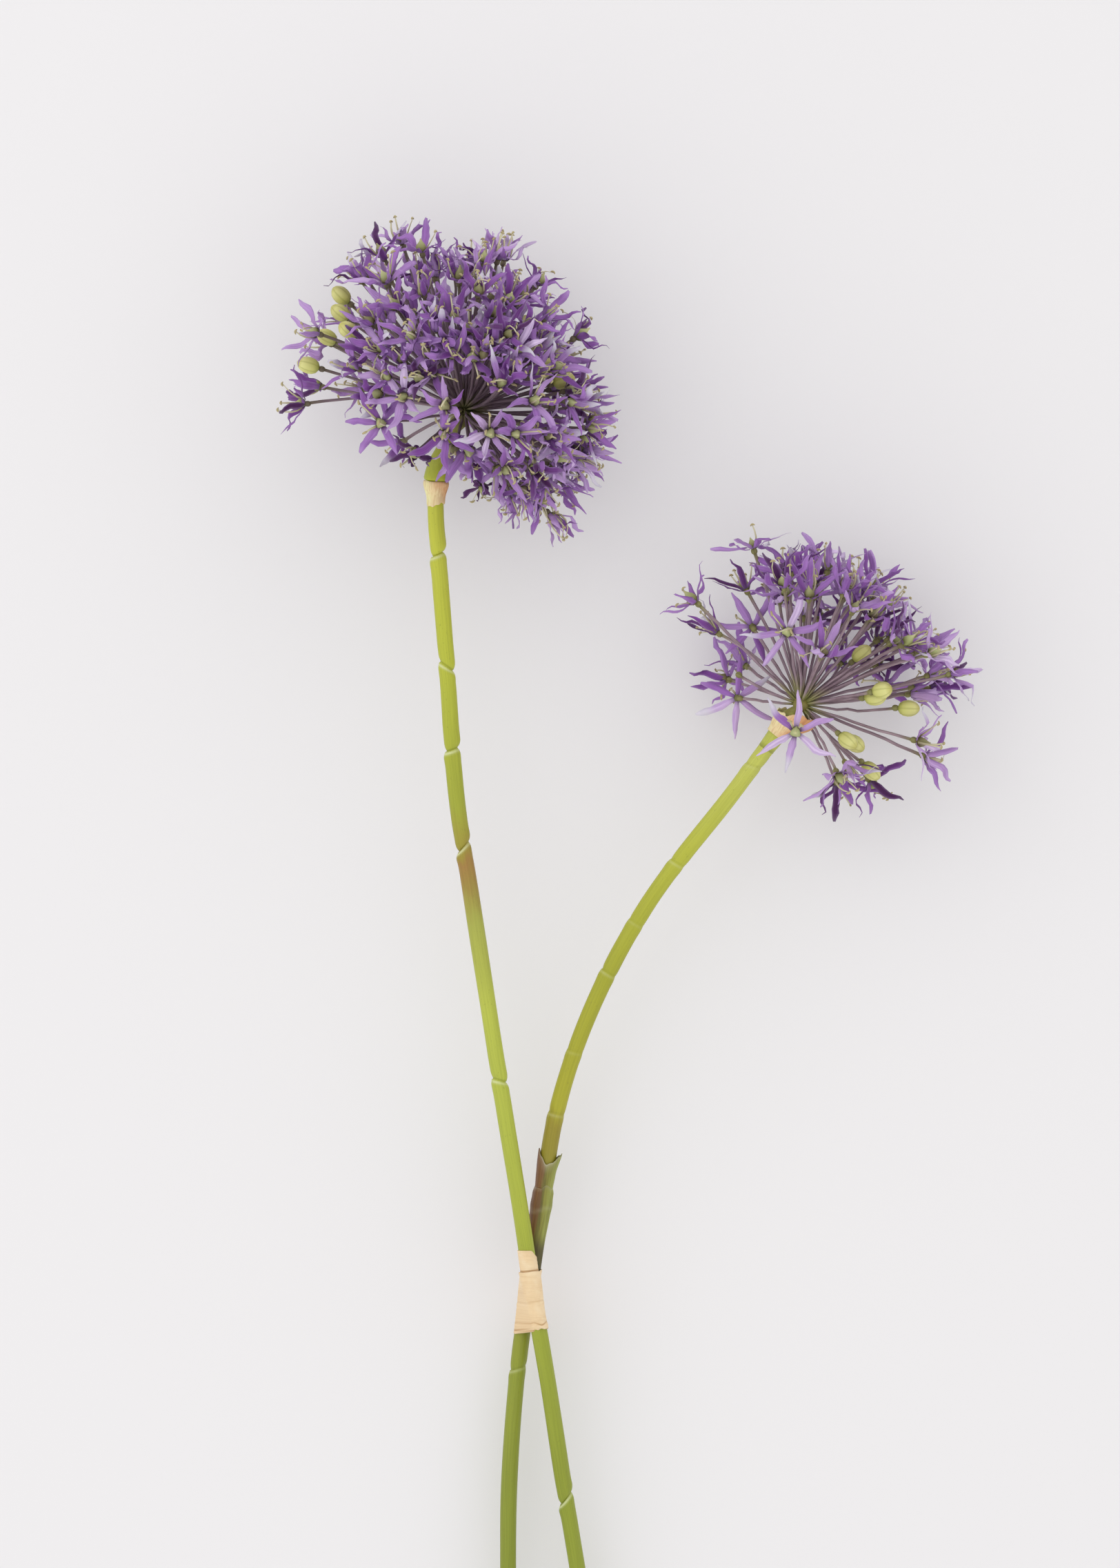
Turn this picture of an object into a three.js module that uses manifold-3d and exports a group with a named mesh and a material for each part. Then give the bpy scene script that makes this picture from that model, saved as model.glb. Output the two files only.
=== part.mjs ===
// A bunch of dried allium: two cut flower stems crossed in an X and tied with paper tape, lying down.
// Millimetres, +Z up, resting on z = 0. The bunch is laid out with its tie over x = 0, y = 0 and its
// heads towards +Y. At the end the whole group is moved so that its origin is under its middle.
import * as THREE from 'three';
import { mergeVertices } from 'three/addons/utils/BufferGeometryUtils.js';
import Module from 'manifold-3d';

// Driving dimensions, in millimetres and degrees.
const GAP = 0.3; // left between pieces that touch
const STEM_RADIUS = 2.6;
const STEM_END_SWELL = 0.2; // the cut ends are a little thicker
const STEM_END_LENGTH = 30; // over this length
const STEM_NECK_SWELL = 0.6; // and so is a stem just under its head
const CREASE_DEPTH = 0.5; // of the pinched joints between the dried lengths of stem
const CREASE_RIM = 0.12;
const CREASE_HALF = 0.7; // half the length of a pinch
const HUB_RADIUS = 4; // the receptacle, where every pedicel starts
const NECK_BELOW_HUB = 5.6; // from the hub's middle down to the narrowest part of the neck
const PEDICEL_RADIUS = 0.65;
const PETAL_LENGTH = 12.5;
const PETAL_WIDTH = 3.2;
const PETAL_THICKNESS = 0.7;
const PETAL_OPENING = 52; // degrees from the flower's axis
const OVARY_RADIUS = 1.9;
const BUD_RADIUS = 2.8;
const BUD_LENGTH = 7;
const TAPE_LENGTH = 26;
const TAPE_WALL = 0.5;
const TAPE_ABOVE = 13; // how much of the tape's length is above the crossing
const SHEATH_WALL = 0.5;
const LOWER_SHEATH_LENGTH = 20;
const UPPER_SHEATH_LENGTH = 7;
const SHEATH_SHOULDER = 6; // the length below a sheath's top over which it widens
const SHEATH_FLARE = 0.2;
const SHEATH_LOBE = 4.5; // how far the torn tips of the upper sheath stand up
const COLLAR_LENGTH = 7.5;
const COLLAR_WALL = 0.6;
const COLLAR_FLARE = 0.7;
const COLLAR_BELOW_HUB = 24.5; // from the hub's middle down the stem to the collar's top
const SPATHE_LENGTH = 9;
const SPATHE_WALL = 0.6;
const SPATHE_FLARE = 2.6;
const SPATHE_BELOW_HUB = 6;
const TIE_HEIGHT = 20; // of the crossing above the surface
const TALL_HUB_HEIGHT = 46;
const SHORT_HUB_HEIGHT = 41;
const REACH = 1; // scales every pedicel
const STEM_SIDES = 12;
const STEM_ROWS_APART = 15; // between the rows of points along a plain length of stem
const CREASE_ROOM = 5; // with none of them this near to a crease
const SLEEVE_SIDES = 16;
const TAPE_SIDES = 20;
const TAPE_ROWS = 10;
const FLORET_SIDES = 6; // of a pedicel and an ovary, and the number of tepals
const OVARY_ROWS = 4;
const BUD_SIDES = 8;
const BUD_ROWS = 6;

// How far the florets of a head stray from even places: in degrees, and as a share of their reach.
const STRAY_FROM_CROWN = 3.5;
const STRAY_ROUND_CROWN = 5;
const STRAY_IN_REACH = 0.07;
const BUD_ROOM = 12; // degrees round a bud that no floret grows in

// Where the stems run, seen from above, from the cut end past the tie at y = 0 to the hub.
const TALL_ROUTE = [
  [32, -195], [23.5, -140], [15, -88], [10.8, -62], [5.8, -29], [0.9, 0], [-2.9, 26], [-8.2, 59],
  [-13.3, 92], [-18.4, 125], [-23.3, 158], [-26.5, 202], [-29, 235], [-29.8, 252], [-28.3, 265],
  [-20.7, 280.5],
];
const SHORT_ROUTE = [
  [-4, -195], [-6.5, -140], [-7, -88], [-6.6, -62], [-4.2, -29], [-0.4, 0], [3.5, 26], [9.1, 59],
  [20.5, 92], [38.4, 125], [63.8, 158], [77.2, 175.8], [86.2, 187.2],
];
// A neck swells from `from` below the hub's middle to `at`, and is `narrow` in radius under the hub.
const TALL_NECK = { from: 24, at: 18, narrow: 2.3 };
const SHORT_NECK = { from: 16, at: 8, narrow: 3 };
// Where the stems are creased, as y along the bunch.
const TALL_CREASES = [-150, -66.8, 67.5, 142, 173, 199.5, 235];
const SHORT_CREASES = [-120, -25, 57, 77, 102, 118, 137, 168];

// The heads. A reach is a pedicel's length for florets that point level along a bearing, seen from
// above, anticlockwise from +X. A head reaches as far as `up` straight up and `down` straight down.
const TALL = {
  name: 'tall',
  seed: 1,
  count: 140, // places on the whole sphere
  modelledEvery: 4, // one floret in four has a solid of its own
  spread: 138, // the widest angle between the crown and a pedicel
  reach: [
    [0, 40], [18, 34], [31, 37], [45, 33], [60, 45], [72, 50], [86, 51], [96, 43], [106, 55],
    [120, 55], [135, 51], [151, 57], [170, 51], [195, 41], [212, 28], [248, 14], [285, 15],
    [300, 33], [315, 40], [338, 43],
  ],
  up: 47,
  down: 40,
  buds: [[137, 3, 50], [152, 3, 46], [164, 6, 48], [55, 10, 30], [26, 25, 27]],
  missing(bearing, elevation, i) {
    if (bearing > 165 && bearing < 215 && elevation > 5) return elevation < 48 && i % 4 > 0;
    if (bearing > 150 && bearing < 205) return i % 2 > 0;
    if (bearing > 215 && bearing < 290 && Math.abs(elevation) < 28) return true;
    if (bearing > 205 && bearing < 300 && elevation < 0) return i % 3 > 0;
    return elevation < -55 && i % 3 > 0;
  },
};
const SHORT = {
  name: 'short',
  seed: 2,
  count: 176,
  modelledEvery: 3,
  spread: 122,
  reach: [
    [0, 43], [20, 50], [38, 42], [73, 44], [113, 46], [136, 46], [165, 30], [196, 24], [233, 12],
    [263, 14], [285, 20], [296, 28], [316, 36], [341, 44],
  ],
  up: 40,
  down: 38,
  buds: [[6, 20, 21.5], [40, 8, 22], [358, 6, 31], [324, 10, 18], [317, -12, 28]],
  missing(bearing, elevation, i) {
    if (elevation > 40 || elevation < -58) return true;
    if (bearing > 125 && bearing < 340) return elevation > 20 || i % 3 > 0;
    if (bearing >= 340 || bearing < 8) return elevation > 25 || i % 2 > 0;
    return bearing > 100 && i % 2 > 0;
  },
};

const FINISH = {
  stem: new THREE.MeshStandardMaterial({ color: '#a6b04c', roughness: 0.5 }),
  tape: new THREE.MeshStandardMaterial({ color: '#e6cba0', roughness: 0.85 }),
  husk: new THREE.MeshStandardMaterial({ color: '#e3c49a', roughness: 0.8 }),
  sheath: new THREE.MeshStandardMaterial({ color: '#8a6a3c', roughness: 0.6 }),
  petal: new THREE.MeshStandardMaterial({ color: '#8b5bb0', roughness: 0.75 }),
  bud: new THREE.MeshStandardMaterial({ color: '#cfcb78', roughness: 0.6 }),
};

const UP = new THREE.Vector3(0, 0, 1);
const GOLDEN_TURN = Math.PI * (3 - Math.sqrt(5));
const wasm = await Module();
wasm.setup();

// A repeatable number from -1 to 1 for item i of a series.
function jitter(series, i) {
  const value = Math.sin(i * 12.9898 + series * 78.233) * 43758.5453;
  return 2 * (value - Math.floor(value)) - 1;
}

const radians = THREE.MathUtils.degToRad;
const degrees = THREE.MathUtils.radToDeg;

function toSolid(geometry) {
  const bare = geometry.clone();
  bare.deleteAttribute('normal');
  bare.deleteAttribute('uv');
  const merged = mergeVertices(bare, 1e-4);
  const index = merged.index.array;
  const corners = [];
  for (let i = 0; i < index.length; i += 3) {
    const [a, b, c] = [index[i], index[i + 1], index[i + 2]];
    if (a !== b && b !== c && c !== a) corners.push(a, b, c);
  }
  return new wasm.Manifold(new wasm.Mesh({
    numProp: 3,
    vertProperties: new Float32Array(merged.attributes.position.array),
    triVerts: new Uint32Array(corners),
  }));
}

function toGeometry(solid) {
  const mesh = solid.getMesh();
  const geometry = new THREE.BufferGeometry();
  geometry.setAttribute('position', new THREE.BufferAttribute(mesh.vertProperties, 3));
  geometry.setIndex(new THREE.BufferAttribute(mesh.triVerts, 1));
  return geometry;
}

// ---------------------------------------------------------------- stems and what is wrapped round them

// Just round the crossing the two stems pass over and under each other, the tall one on top.
const CROSSING_LIFT = STEM_RADIUS + SHEATH_WALL / 2 + GAP;
const CROSSING_FLAT = 36; // how far from the tie the stems keep that height
const CROSSING_FADE = 70; // and over how long they lose it

function crossingShare(y) {
  const past = Math.max(0, Math.abs(y) - CROSSING_FLAT) / CROSSING_FADE;
  return past < 1 ? 1 - past * past * (3 - 2 * past) : 0;
}

// A stem's route in space: level ends on the surface, up to the tie, and on up to the hub.
function routeOf(points, hubHeight, side) {
  const [, endY] = points[0];
  const [, hubY] = points[points.length - 1];
  const endHeight = STEM_RADIUS + STEM_END_SWELL;
  const lifted = points.map(([x, y]) => {
    const height = y < 0
      ? TIE_HEIGHT + (endHeight - TIE_HEIGHT) * (y / endY)
      : TIE_HEIGHT + (hubHeight - TIE_HEIGHT) * (y / hubY);
    return new THREE.Vector3(x, y, height + side * CROSSING_LIFT * crossingShare(y));
  });
  const curve = new THREE.CatmullRomCurve3(lifted, false, 'centripetal');
  curve.arcLengthDivisions = 1200;
  return curve;
}

// How far along a route, in millimetres, it reaches a given y.
function lengthAt(route, y) {
  let [low, high] = [0, 1];
  for (let step = 0; step < 30; step++) {
    const middle = (low + high) / 2;
    if (route.getPointAt(middle).y < y) low = middle;
    else high = middle;
  }
  return low * route.getLength();
}

// Bends a piece that was turned about +Y so that its axis follows a route from the route's start.
function bendAlong(geometry, route) {
  const total = route.getLength();
  const place = geometry.attributes.position;
  for (let i = 0; i < place.count; i++) {
    const along = place.getY(i);
    const share = THREE.MathUtils.clamp(along / total, 0, 1);
    const tangent = route.getTangentAt(share);
    const side = tangent.clone().cross(UP).normalize();
    const over = side.clone().cross(tangent);
    const point = route.getPointAt(share)
      .addScaledVector(tangent, along - share * total)
      .addScaledVector(side, place.getX(i))
      .addScaledVector(over, place.getZ(i));
    place.setXYZ(i, point.x, point.y, point.z);
  }
  return geometry;
}

// A stem's outline, from the middle of its cut end to the top of its hub: plain lengths with a
// pinched crease between them, a swelling under the head, and the round receptacle.
function stemOutline(total, creases, neck) {
  const endRadius = STEM_RADIUS + STEM_END_SWELL;
  const outline = [[0, 0], [endRadius, 0], [endRadius, STEM_END_LENGTH]];
  const plainEnd = total - neck.from;
  for (let along = STEM_END_LENGTH + STEM_ROWS_APART; along < plainEnd; along += STEM_ROWS_APART) {
    if (creases.every((crease) => Math.abs(crease - along) > CREASE_ROOM)) {
      outline.push([STEM_RADIUS, along]);
    }
  }
  for (const crease of creases) {
    outline.push(
      [STEM_RADIUS + CREASE_RIM, crease - 3 * CREASE_HALF],
      [STEM_RADIUS - CREASE_DEPTH, crease - CREASE_HALF],
      [STEM_RADIUS - CREASE_DEPTH, crease + CREASE_HALF],
      [STEM_RADIUS + CREASE_RIM, crease + 3 * CREASE_HALF],
    );
  }
  outline.sort((a, b) => a[1] - b[1] || a[0] - b[0]);
  outline.push(
    [STEM_RADIUS, plainEnd],
    [STEM_RADIUS + STEM_NECK_SWELL, total - neck.at],
    [neck.narrow, total - NECK_BELOW_HUB],
  );
  for (let latitude = -50; latitude <= 70; latitude += 20) {
    const angle = radians(latitude);
    outline.push([HUB_RADIUS * Math.cos(angle), total + HUB_RADIUS * Math.sin(angle)]);
  }
  outline.push([0, total + HUB_RADIUS]);
  return outline;
}

function stem(route, creaseYs, neck) {
  const creases = creaseYs.map((y) => lengthAt(route, y));
  const outline = stemOutline(route.getLength(), creases, neck);
  const points = outline.map(([radius, along]) => new THREE.Vector2(radius, along));
  return bendAlong(new THREE.LatheGeometry(points, STEM_SIDES), route);
}

// A loose ring round a stem: `rows` gives how far along the stem and how much wider than the
// stem's own clearance each row of it is. `topLift` raises the top edge, by its angle round the stem.
function sleeve(route, rows, wall, topLift = () => 0) {
  const clear = STEM_RADIUS + CREASE_RIM + GAP;
  const inner = rows.map(([along, wider]) => new THREE.Vector2(clear + wider, along));
  const outer = rows.map(([along, wider]) => new THREE.Vector2(clear + wider + wall, along));
  const ring = [inner[0], ...outer, ...inner.slice().reverse()];
  const geometry = new THREE.LatheGeometry(ring, SLEEVE_SIDES);
  const top = rows[rows.length - 1][0];
  const place = geometry.attributes.position;
  for (let i = 0; i < place.count; i++) {
    if (place.getY(i) > top - 0.01) {
      place.setY(i, top + topLift(Math.atan2(place.getX(i), place.getZ(i))));
    }
  }
  return bendAlong(geometry, route);
}

// The tape round both stems: a ring round one stem, pulled apart row by row to go round the two.
function tape(tallRoute, shortRoute) {
  const clear = STEM_RADIUS + CREASE_RIM + GAP;
  const foot = TAPE_ABOVE - TAPE_LENGTH;
  const rows = Array.from({ length: TAPE_ROWS + 1 }, (_, i) => foot + (TAPE_LENGTH * i) / TAPE_ROWS);
  const inner = rows.map((y) => new THREE.Vector2(clear, y));
  const outer = rows.map((y) => new THREE.Vector2(clear + TAPE_WALL, y));
  const ring = [inner[0], ...outer, ...inner.slice().reverse()];
  const geometry = new THREE.LatheGeometry(ring, TAPE_SIDES);
  const place = geometry.attributes.position;
  for (let i = 0; i < place.count; i++) {
    const y = place.getY(i);
    const onTall = tallRoute.getPointAt(lengthAt(tallRoute, y) / tallRoute.getLength());
    const onShort = shortRoute.getPointAt(lengthAt(shortRoute, y) / shortRoute.getLength());
    const span = onTall.clone().sub(onShort);
    const nearer = span.x * place.getX(i) + span.z * place.getZ(i) > 0 ? onTall : onShort;
    place.setXYZ(i, nearer.x + place.getX(i), y, nearer.z + place.getZ(i));
  }
  return geometry;
}

// ---------------------------------------------------------------- heads

function direction(bearing, elevation) {
  const [b, e] = [radians(bearing), radians(elevation)];
  return new THREE.Vector3(Math.cos(b) * Math.cos(e), Math.sin(b) * Math.cos(e), Math.sin(e));
}

// A head's level reach along a bearing, eased from one listed bearing to the next.
function levelReach(table, bearing) {
  const [firstBearing, firstReach] = table[0];
  const ring = [...table, [firstBearing + 360, firstReach]];
  const next = ring.findIndex(([listed]) => listed > bearing);
  const [[from, near], [to, far]] = [ring[next - 1], ring[next]];
  const share = (bearing - from) / (to - from);
  return near + (far - near) * share * share * (3 - 2 * share);
}

// Every floret of a head: its place in the growing order, its direction and its pedicel's length.
function floretsOf(head, crown) {
  const toCrown = new THREE.Quaternion().setFromUnitVectors(UP, crown);
  const florets = [];
  for (let i = 0; i < head.count; i++) {
    const even = Math.acos(1 - (2 * (i + 0.5)) / head.count);
    const polar = even + radians(STRAY_FROM_CROWN) * jitter(head.seed, i);
    const loose = radians(STRAY_ROUND_CROWN) / Math.max(0.3, Math.sin(polar));
    const turn = i * GOLDEN_TURN + loose * jitter(head.seed + 10, i);
    const [across, along] = [Math.sin(polar), Math.cos(polar)];
    const aim = new THREE.Vector3(across * Math.cos(turn), across * Math.sin(turn), along)
      .applyQuaternion(toCrown);
    const elevation = degrees(Math.asin(aim.z));
    const bearing = (degrees(Math.atan2(aim.y, aim.x)) + 360) % 360;
    if (degrees(polar) > head.spread || head.missing(bearing, elevation, i)) continue;
    const level = Math.cos(radians(elevation)) / levelReach(head.reach, bearing);
    const upright = Math.sin(radians(elevation)) / (elevation > 0 ? head.up : head.down);
    const reach = (1 + STRAY_IN_REACH * jitter(head.seed + 20, i)) / Math.hypot(level, upright);
    florets.push({ i, aim, elevation, reach: reach * REACH });
  }
  return florets;
}

// Half the angle from one direction to the nearest of the others, which is the room it has.
function roomFor(aim, others) {
  return Math.min(...others.filter((other) => other !== aim).map((other) => aim.angleTo(other))) / 2;
}

// A pedicel along +Z from just off the hub to `reach`, no thicker at the hub than its room allows.
function pedicel(reach, room) {
  const start = HUB_RADIUS + GAP;
  const base = Math.min(PEDICEL_RADIUS, start * Math.tan(room) - GAP / 2);
  return new THREE.CylinderGeometry(PEDICEL_RADIUS, base, reach - start, FLORET_SIDES)
    .rotateX(Math.PI / 2)
    .translate(0, 0, (reach + start) / 2);
}

// Six narrow tepals cut as one star, then lifted into a cup that opens by `opening` radians.
function star(opening) {
  const outline = new THREE.Shape();
  const corners = 2 * FLORET_SIDES; // tips and notches by turns
  const notch = PETAL_WIDTH / 2 / Math.sin(Math.PI / FLORET_SIDES);
  for (let corner = 0; corner < corners; corner++) {
    const angle = (corner * 2 * Math.PI) / corners;
    const out = corner % 2 ? notch : PETAL_LENGTH;
    if (corner === 0) outline.moveTo(out, 0);
    else outline.lineTo(out * Math.cos(angle), out * Math.sin(angle));
  }
  outline.closePath();
  const geometry = new THREE.ExtrudeGeometry(outline, { depth: PETAL_THICKNESS, bevelEnabled: false });
  const place = geometry.attributes.position;
  const [sine, cosine] = [Math.sin(opening), Math.cos(opening)];
  for (let i = 0; i < place.count; i++) {
    const [x, y, thick] = [place.getX(i), place.getY(i), place.getZ(i)];
    const out = Math.hypot(x, y);
    const spread = (out * sine - thick * cosine) / out;
    place.setXYZ(i, x * spread, y * spread, out * cosine + thick * sine);
  }
  return geometry;
}

// One floret, its pedicel, star and ovary grown together. Tepals that would press into the surface
// shorten the pedicel instead, as the lowest florets of a head that lies down are pushed back.
function floret({ aim, elevation, reach }, room, hubHeight) {
  const widest = reach * Math.tan(room) - GAP;
  const radius = Math.min(PETAL_LENGTH * Math.sin(radians(PETAL_OPENING)), widest);
  const opening = Math.asin(radius / PETAL_LENGTH);
  const height = PETAL_LENGTH * Math.cos(opening);
  const drop = Math.max(1e-6, -aim.z);
  const clearOfSurface = (hubHeight - radius * Math.cos(radians(elevation))) / drop - height;
  const flowerAt = Math.min(reach, clearOfSurface);
  const ovary = new THREE.SphereGeometry(OVARY_RADIUS, FLORET_SIDES, OVARY_ROWS)
    .rotateX(Math.PI / 2)
    .translate(0, 0, flowerAt + OVARY_RADIUS);
  const solid = toSolid(pedicel(flowerAt + OVARY_RADIUS, room))
    .add(toSolid(star(opening).translate(0, 0, flowerAt)))
    .add(toSolid(ovary));
  return toGeometry(solid);
}

function bud(reach, room) {
  const body = new THREE.SphereGeometry(BUD_RADIUS, BUD_SIDES, BUD_ROWS)
    .rotateX(Math.PI / 2)
    .scale(1, 1, BUD_LENGTH / 2 / BUD_RADIUS)
    .translate(0, 0, reach + BUD_LENGTH / 2);
  return toGeometry(toSolid(pedicel(reach + 1, room)).add(toSolid(body)));
}

// ---------------------------------------------------------------- the bunch

const bunch = new THREE.Group();

function addPiece(name, geometry, finish) {
  const mesh = new THREE.Mesh(geometry, finish);
  mesh.name = name;
  bunch.add(mesh);
  return mesh;
}

// A head's crown points level along the last stretch of its stem as seen from above.
function crownOf(points) {
  const [[fromX, fromY], [hubX, hubY]] = points.slice(-2);
  return new THREE.Vector3(hubX - fromX, hubY - fromY, 0).normalize();
}

function addHead(head, points, route) {
  const hub = route.getPointAt(1);
  const crown = crownOf(points);
  const neck = route.getTangentAt(1).negate();
  const buds = head.buds.map(([bearing, elevation, reach]) => ({
    aim: direction(bearing, elevation), reach: reach * REACH,
  }));
  const florets = floretsOf(head, crown)
    .filter((_, grown) => grown % head.modelledEvery === 0)
    .filter(({ aim }) => buds.every((other) => other.aim.angleTo(aim) > radians(BUD_ROOM)));
  const aims = [...florets, ...buds].map(({ aim }) => aim).concat(neck);
  for (const one of florets) {
    const geometry = floret(one, roomFor(one.aim, aims), hub.z);
    const number = String(one.i).padStart(3, '0');
    const mesh = addPiece(`floret_${head.name}_${number}`, geometry, FINISH.petal);
    mesh.position.copy(hub);
    mesh.quaternion.setFromUnitVectors(UP, one.aim);
  }
  buds.forEach((one, i) => {
    const geometry = bud(one.reach, roomFor(one.aim, aims));
    const mesh = addPiece(`bud_${head.name}_${i + 1}`, geometry, FINISH.bud);
    mesh.position.copy(hub);
    mesh.quaternion.setFromUnitVectors(UP, one.aim);
  });
}

const tallRoute = routeOf(TALL_ROUTE, TALL_HUB_HEIGHT, 1);
const shortRoute = routeOf(SHORT_ROUTE, SHORT_HUB_HEIGHT, -1);
const tallLength = tallRoute.getLength();
const shortLength = shortRoute.getLength();

addPiece('stem_tall', stem(tallRoute, TALL_CREASES, TALL_NECK), FINISH.stem);
addPiece('stem_short', stem(shortRoute, SHORT_CREASES, SHORT_NECK), FINISH.stem);
addPiece('tie_tape', tape(tallRoute, shortRoute), FINISH.tape);

const collarTop = tallLength - COLLAR_BELOW_HUB;
addPiece('collar_tall', sleeve(
  tallRoute,
  [
    [collarTop - COLLAR_LENGTH, 0],
    [collarTop - COLLAR_LENGTH / 2, COLLAR_FLARE / 2],
    [collarTop, COLLAR_FLARE],
  ],
  COLLAR_WALL,
), FINISH.husk);

const spatheTop = shortLength - SPATHE_BELOW_HUB;
addPiece('spathe_short', sleeve(
  shortRoute,
  [
    [spatheTop - SPATHE_LENGTH, STEM_NECK_SWELL],
    [spatheTop - SPATHE_LENGTH / 2, STEM_NECK_SWELL + SPATHE_FLARE / 3],
    [spatheTop, STEM_NECK_SWELL + SPATHE_FLARE],
  ],
  SPATHE_WALL,
), FINISH.husk);

// The short stem leans as it leaves the tape, so the low side of its sheath starts that much higher.
const tapeTop = lengthAt(shortRoute, TAPE_ABOVE);
const leaving = shortRoute.getTangentAt(tapeTop / shortLength);
const lean = Math.hypot(leaving.x, leaving.z) / leaving.y;
const sheathStart = tapeTop + GAP + lean * (STEM_RADIUS + CREASE_RIM + GAP + SHEATH_WALL);
const sheathJoin = sheathStart + LOWER_SHEATH_LENGTH;
addPiece('sheath_lower', sleeve(
  shortRoute,
  [[sheathStart, 0], [sheathJoin - SHEATH_SHOULDER, 0], [sheathJoin, SHEATH_FLARE]],
  SHEATH_WALL,
), FINISH.sheath);
const lobes = (angle) => (SHEATH_LOBE * (1 + Math.cos(2 * angle - Math.PI))) / 2;
addPiece('sheath_upper', sleeve(
  shortRoute,
  [[sheathJoin + GAP, 0], [sheathJoin + GAP + UPPER_SHEATH_LENGTH, SHEATH_FLARE]],
  SHEATH_WALL,
  lobes,
), FINISH.sheath);

addHead(TALL, TALL_ROUTE, tallRoute);
addHead(SHORT, SHORT_ROUTE, shortRoute);

// The origin goes to the middle of the underside of the whole bunch's box.
const box = new THREE.Box3().setFromObject(bunch, true);
const middle = box.getCenter(new THREE.Vector3());
bunch.position.set(-middle.x, -middle.y, -box.min.z);

export default bunch;
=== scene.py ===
# A bunch of dried allium: two cut flower stems crossed in an X, tied with paper tape and laid down.
import math
import random
from bisect import bisect_right
from functools import lru_cache

import bmesh
import bpy
from mathutils import Matrix, Vector


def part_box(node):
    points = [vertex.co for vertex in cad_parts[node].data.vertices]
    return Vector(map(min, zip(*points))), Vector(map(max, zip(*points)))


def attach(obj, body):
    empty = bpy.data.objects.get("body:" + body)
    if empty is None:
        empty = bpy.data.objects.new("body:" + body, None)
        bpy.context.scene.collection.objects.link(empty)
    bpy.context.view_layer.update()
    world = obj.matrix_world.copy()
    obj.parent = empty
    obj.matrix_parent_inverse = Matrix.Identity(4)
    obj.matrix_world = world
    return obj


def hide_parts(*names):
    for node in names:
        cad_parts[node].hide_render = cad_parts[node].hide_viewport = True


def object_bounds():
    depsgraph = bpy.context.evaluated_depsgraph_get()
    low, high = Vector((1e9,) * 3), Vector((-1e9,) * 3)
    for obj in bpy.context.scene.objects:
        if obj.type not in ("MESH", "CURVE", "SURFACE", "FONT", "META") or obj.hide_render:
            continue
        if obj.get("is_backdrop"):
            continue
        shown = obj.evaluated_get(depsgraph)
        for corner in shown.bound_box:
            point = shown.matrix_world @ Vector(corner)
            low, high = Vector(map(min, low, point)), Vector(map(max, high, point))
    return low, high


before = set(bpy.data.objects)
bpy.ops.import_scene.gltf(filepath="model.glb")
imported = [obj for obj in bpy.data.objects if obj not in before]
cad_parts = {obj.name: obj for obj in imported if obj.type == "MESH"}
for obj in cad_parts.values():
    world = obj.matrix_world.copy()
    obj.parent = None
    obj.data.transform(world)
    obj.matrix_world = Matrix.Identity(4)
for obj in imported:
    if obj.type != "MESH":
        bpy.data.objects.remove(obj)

CAD_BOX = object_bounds()
MM = 0.001
UP = Vector((0, 0, 1))
GOLDEN_TURN = math.pi * (3 - math.sqrt(5))

# ---------------------------------------------------------------- sizes, in millimetres and degrees
# The bunch is laid out as in the CAD model, with its tie over x = 0, y = 0 and its heads towards +Y.

STEM_RADIUS = 2.6
STEM_END_SWELL = 0.2
CREASE_RIM = 0.12
GAP = 0.3
SHEATH_WALL = 0.5
HUB_BALL = 2.5  # radius of the round top of a stem, which the pedicels cover
TAPE_LENGTH = 26
TAPE_ABOVE = 13
LOWER_SHEATH_LENGTH = 20
UPPER_SHEATH_LENGTH = 7
COLLAR_LENGTH = 7.5
COLLAR_BELOW_HUB = 24.5
SPATHE_LENGTH = 9
SPATHE_BELOW_HUB = 6
TIE_HEIGHT = 20
TALL_HUB_HEIGHT = 46
SHORT_HUB_HEIGHT = 41
PETAL_LENGTH = 12.5
PETAL_OPENING = 52
CLEAR = STEM_RADIUS + CREASE_RIM + GAP

TALL_ROUTE = [
    (32, -195), (23.5, -140), (15, -88), (10.8, -62), (5.8, -29), (0.9, 0), (-2.9, 26), (-8.2, 59),
    (-13.3, 92), (-18.4, 125), (-23.3, 158), (-26.5, 202), (-29, 235), (-29.8, 252), (-28.3, 265),
    (-20.7, 280.5),
]
SHORT_ROUTE = [
    (-4, -195), (-6.5, -140), (-7, -88), (-6.6, -62), (-4.2, -29), (-0.4, 0), (3.5, 26), (9.1, 59),
    (20.5, 92), (38.4, 125), (63.8, 158), (77.2, 175.8), (86.2, 187.2),
]

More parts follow.
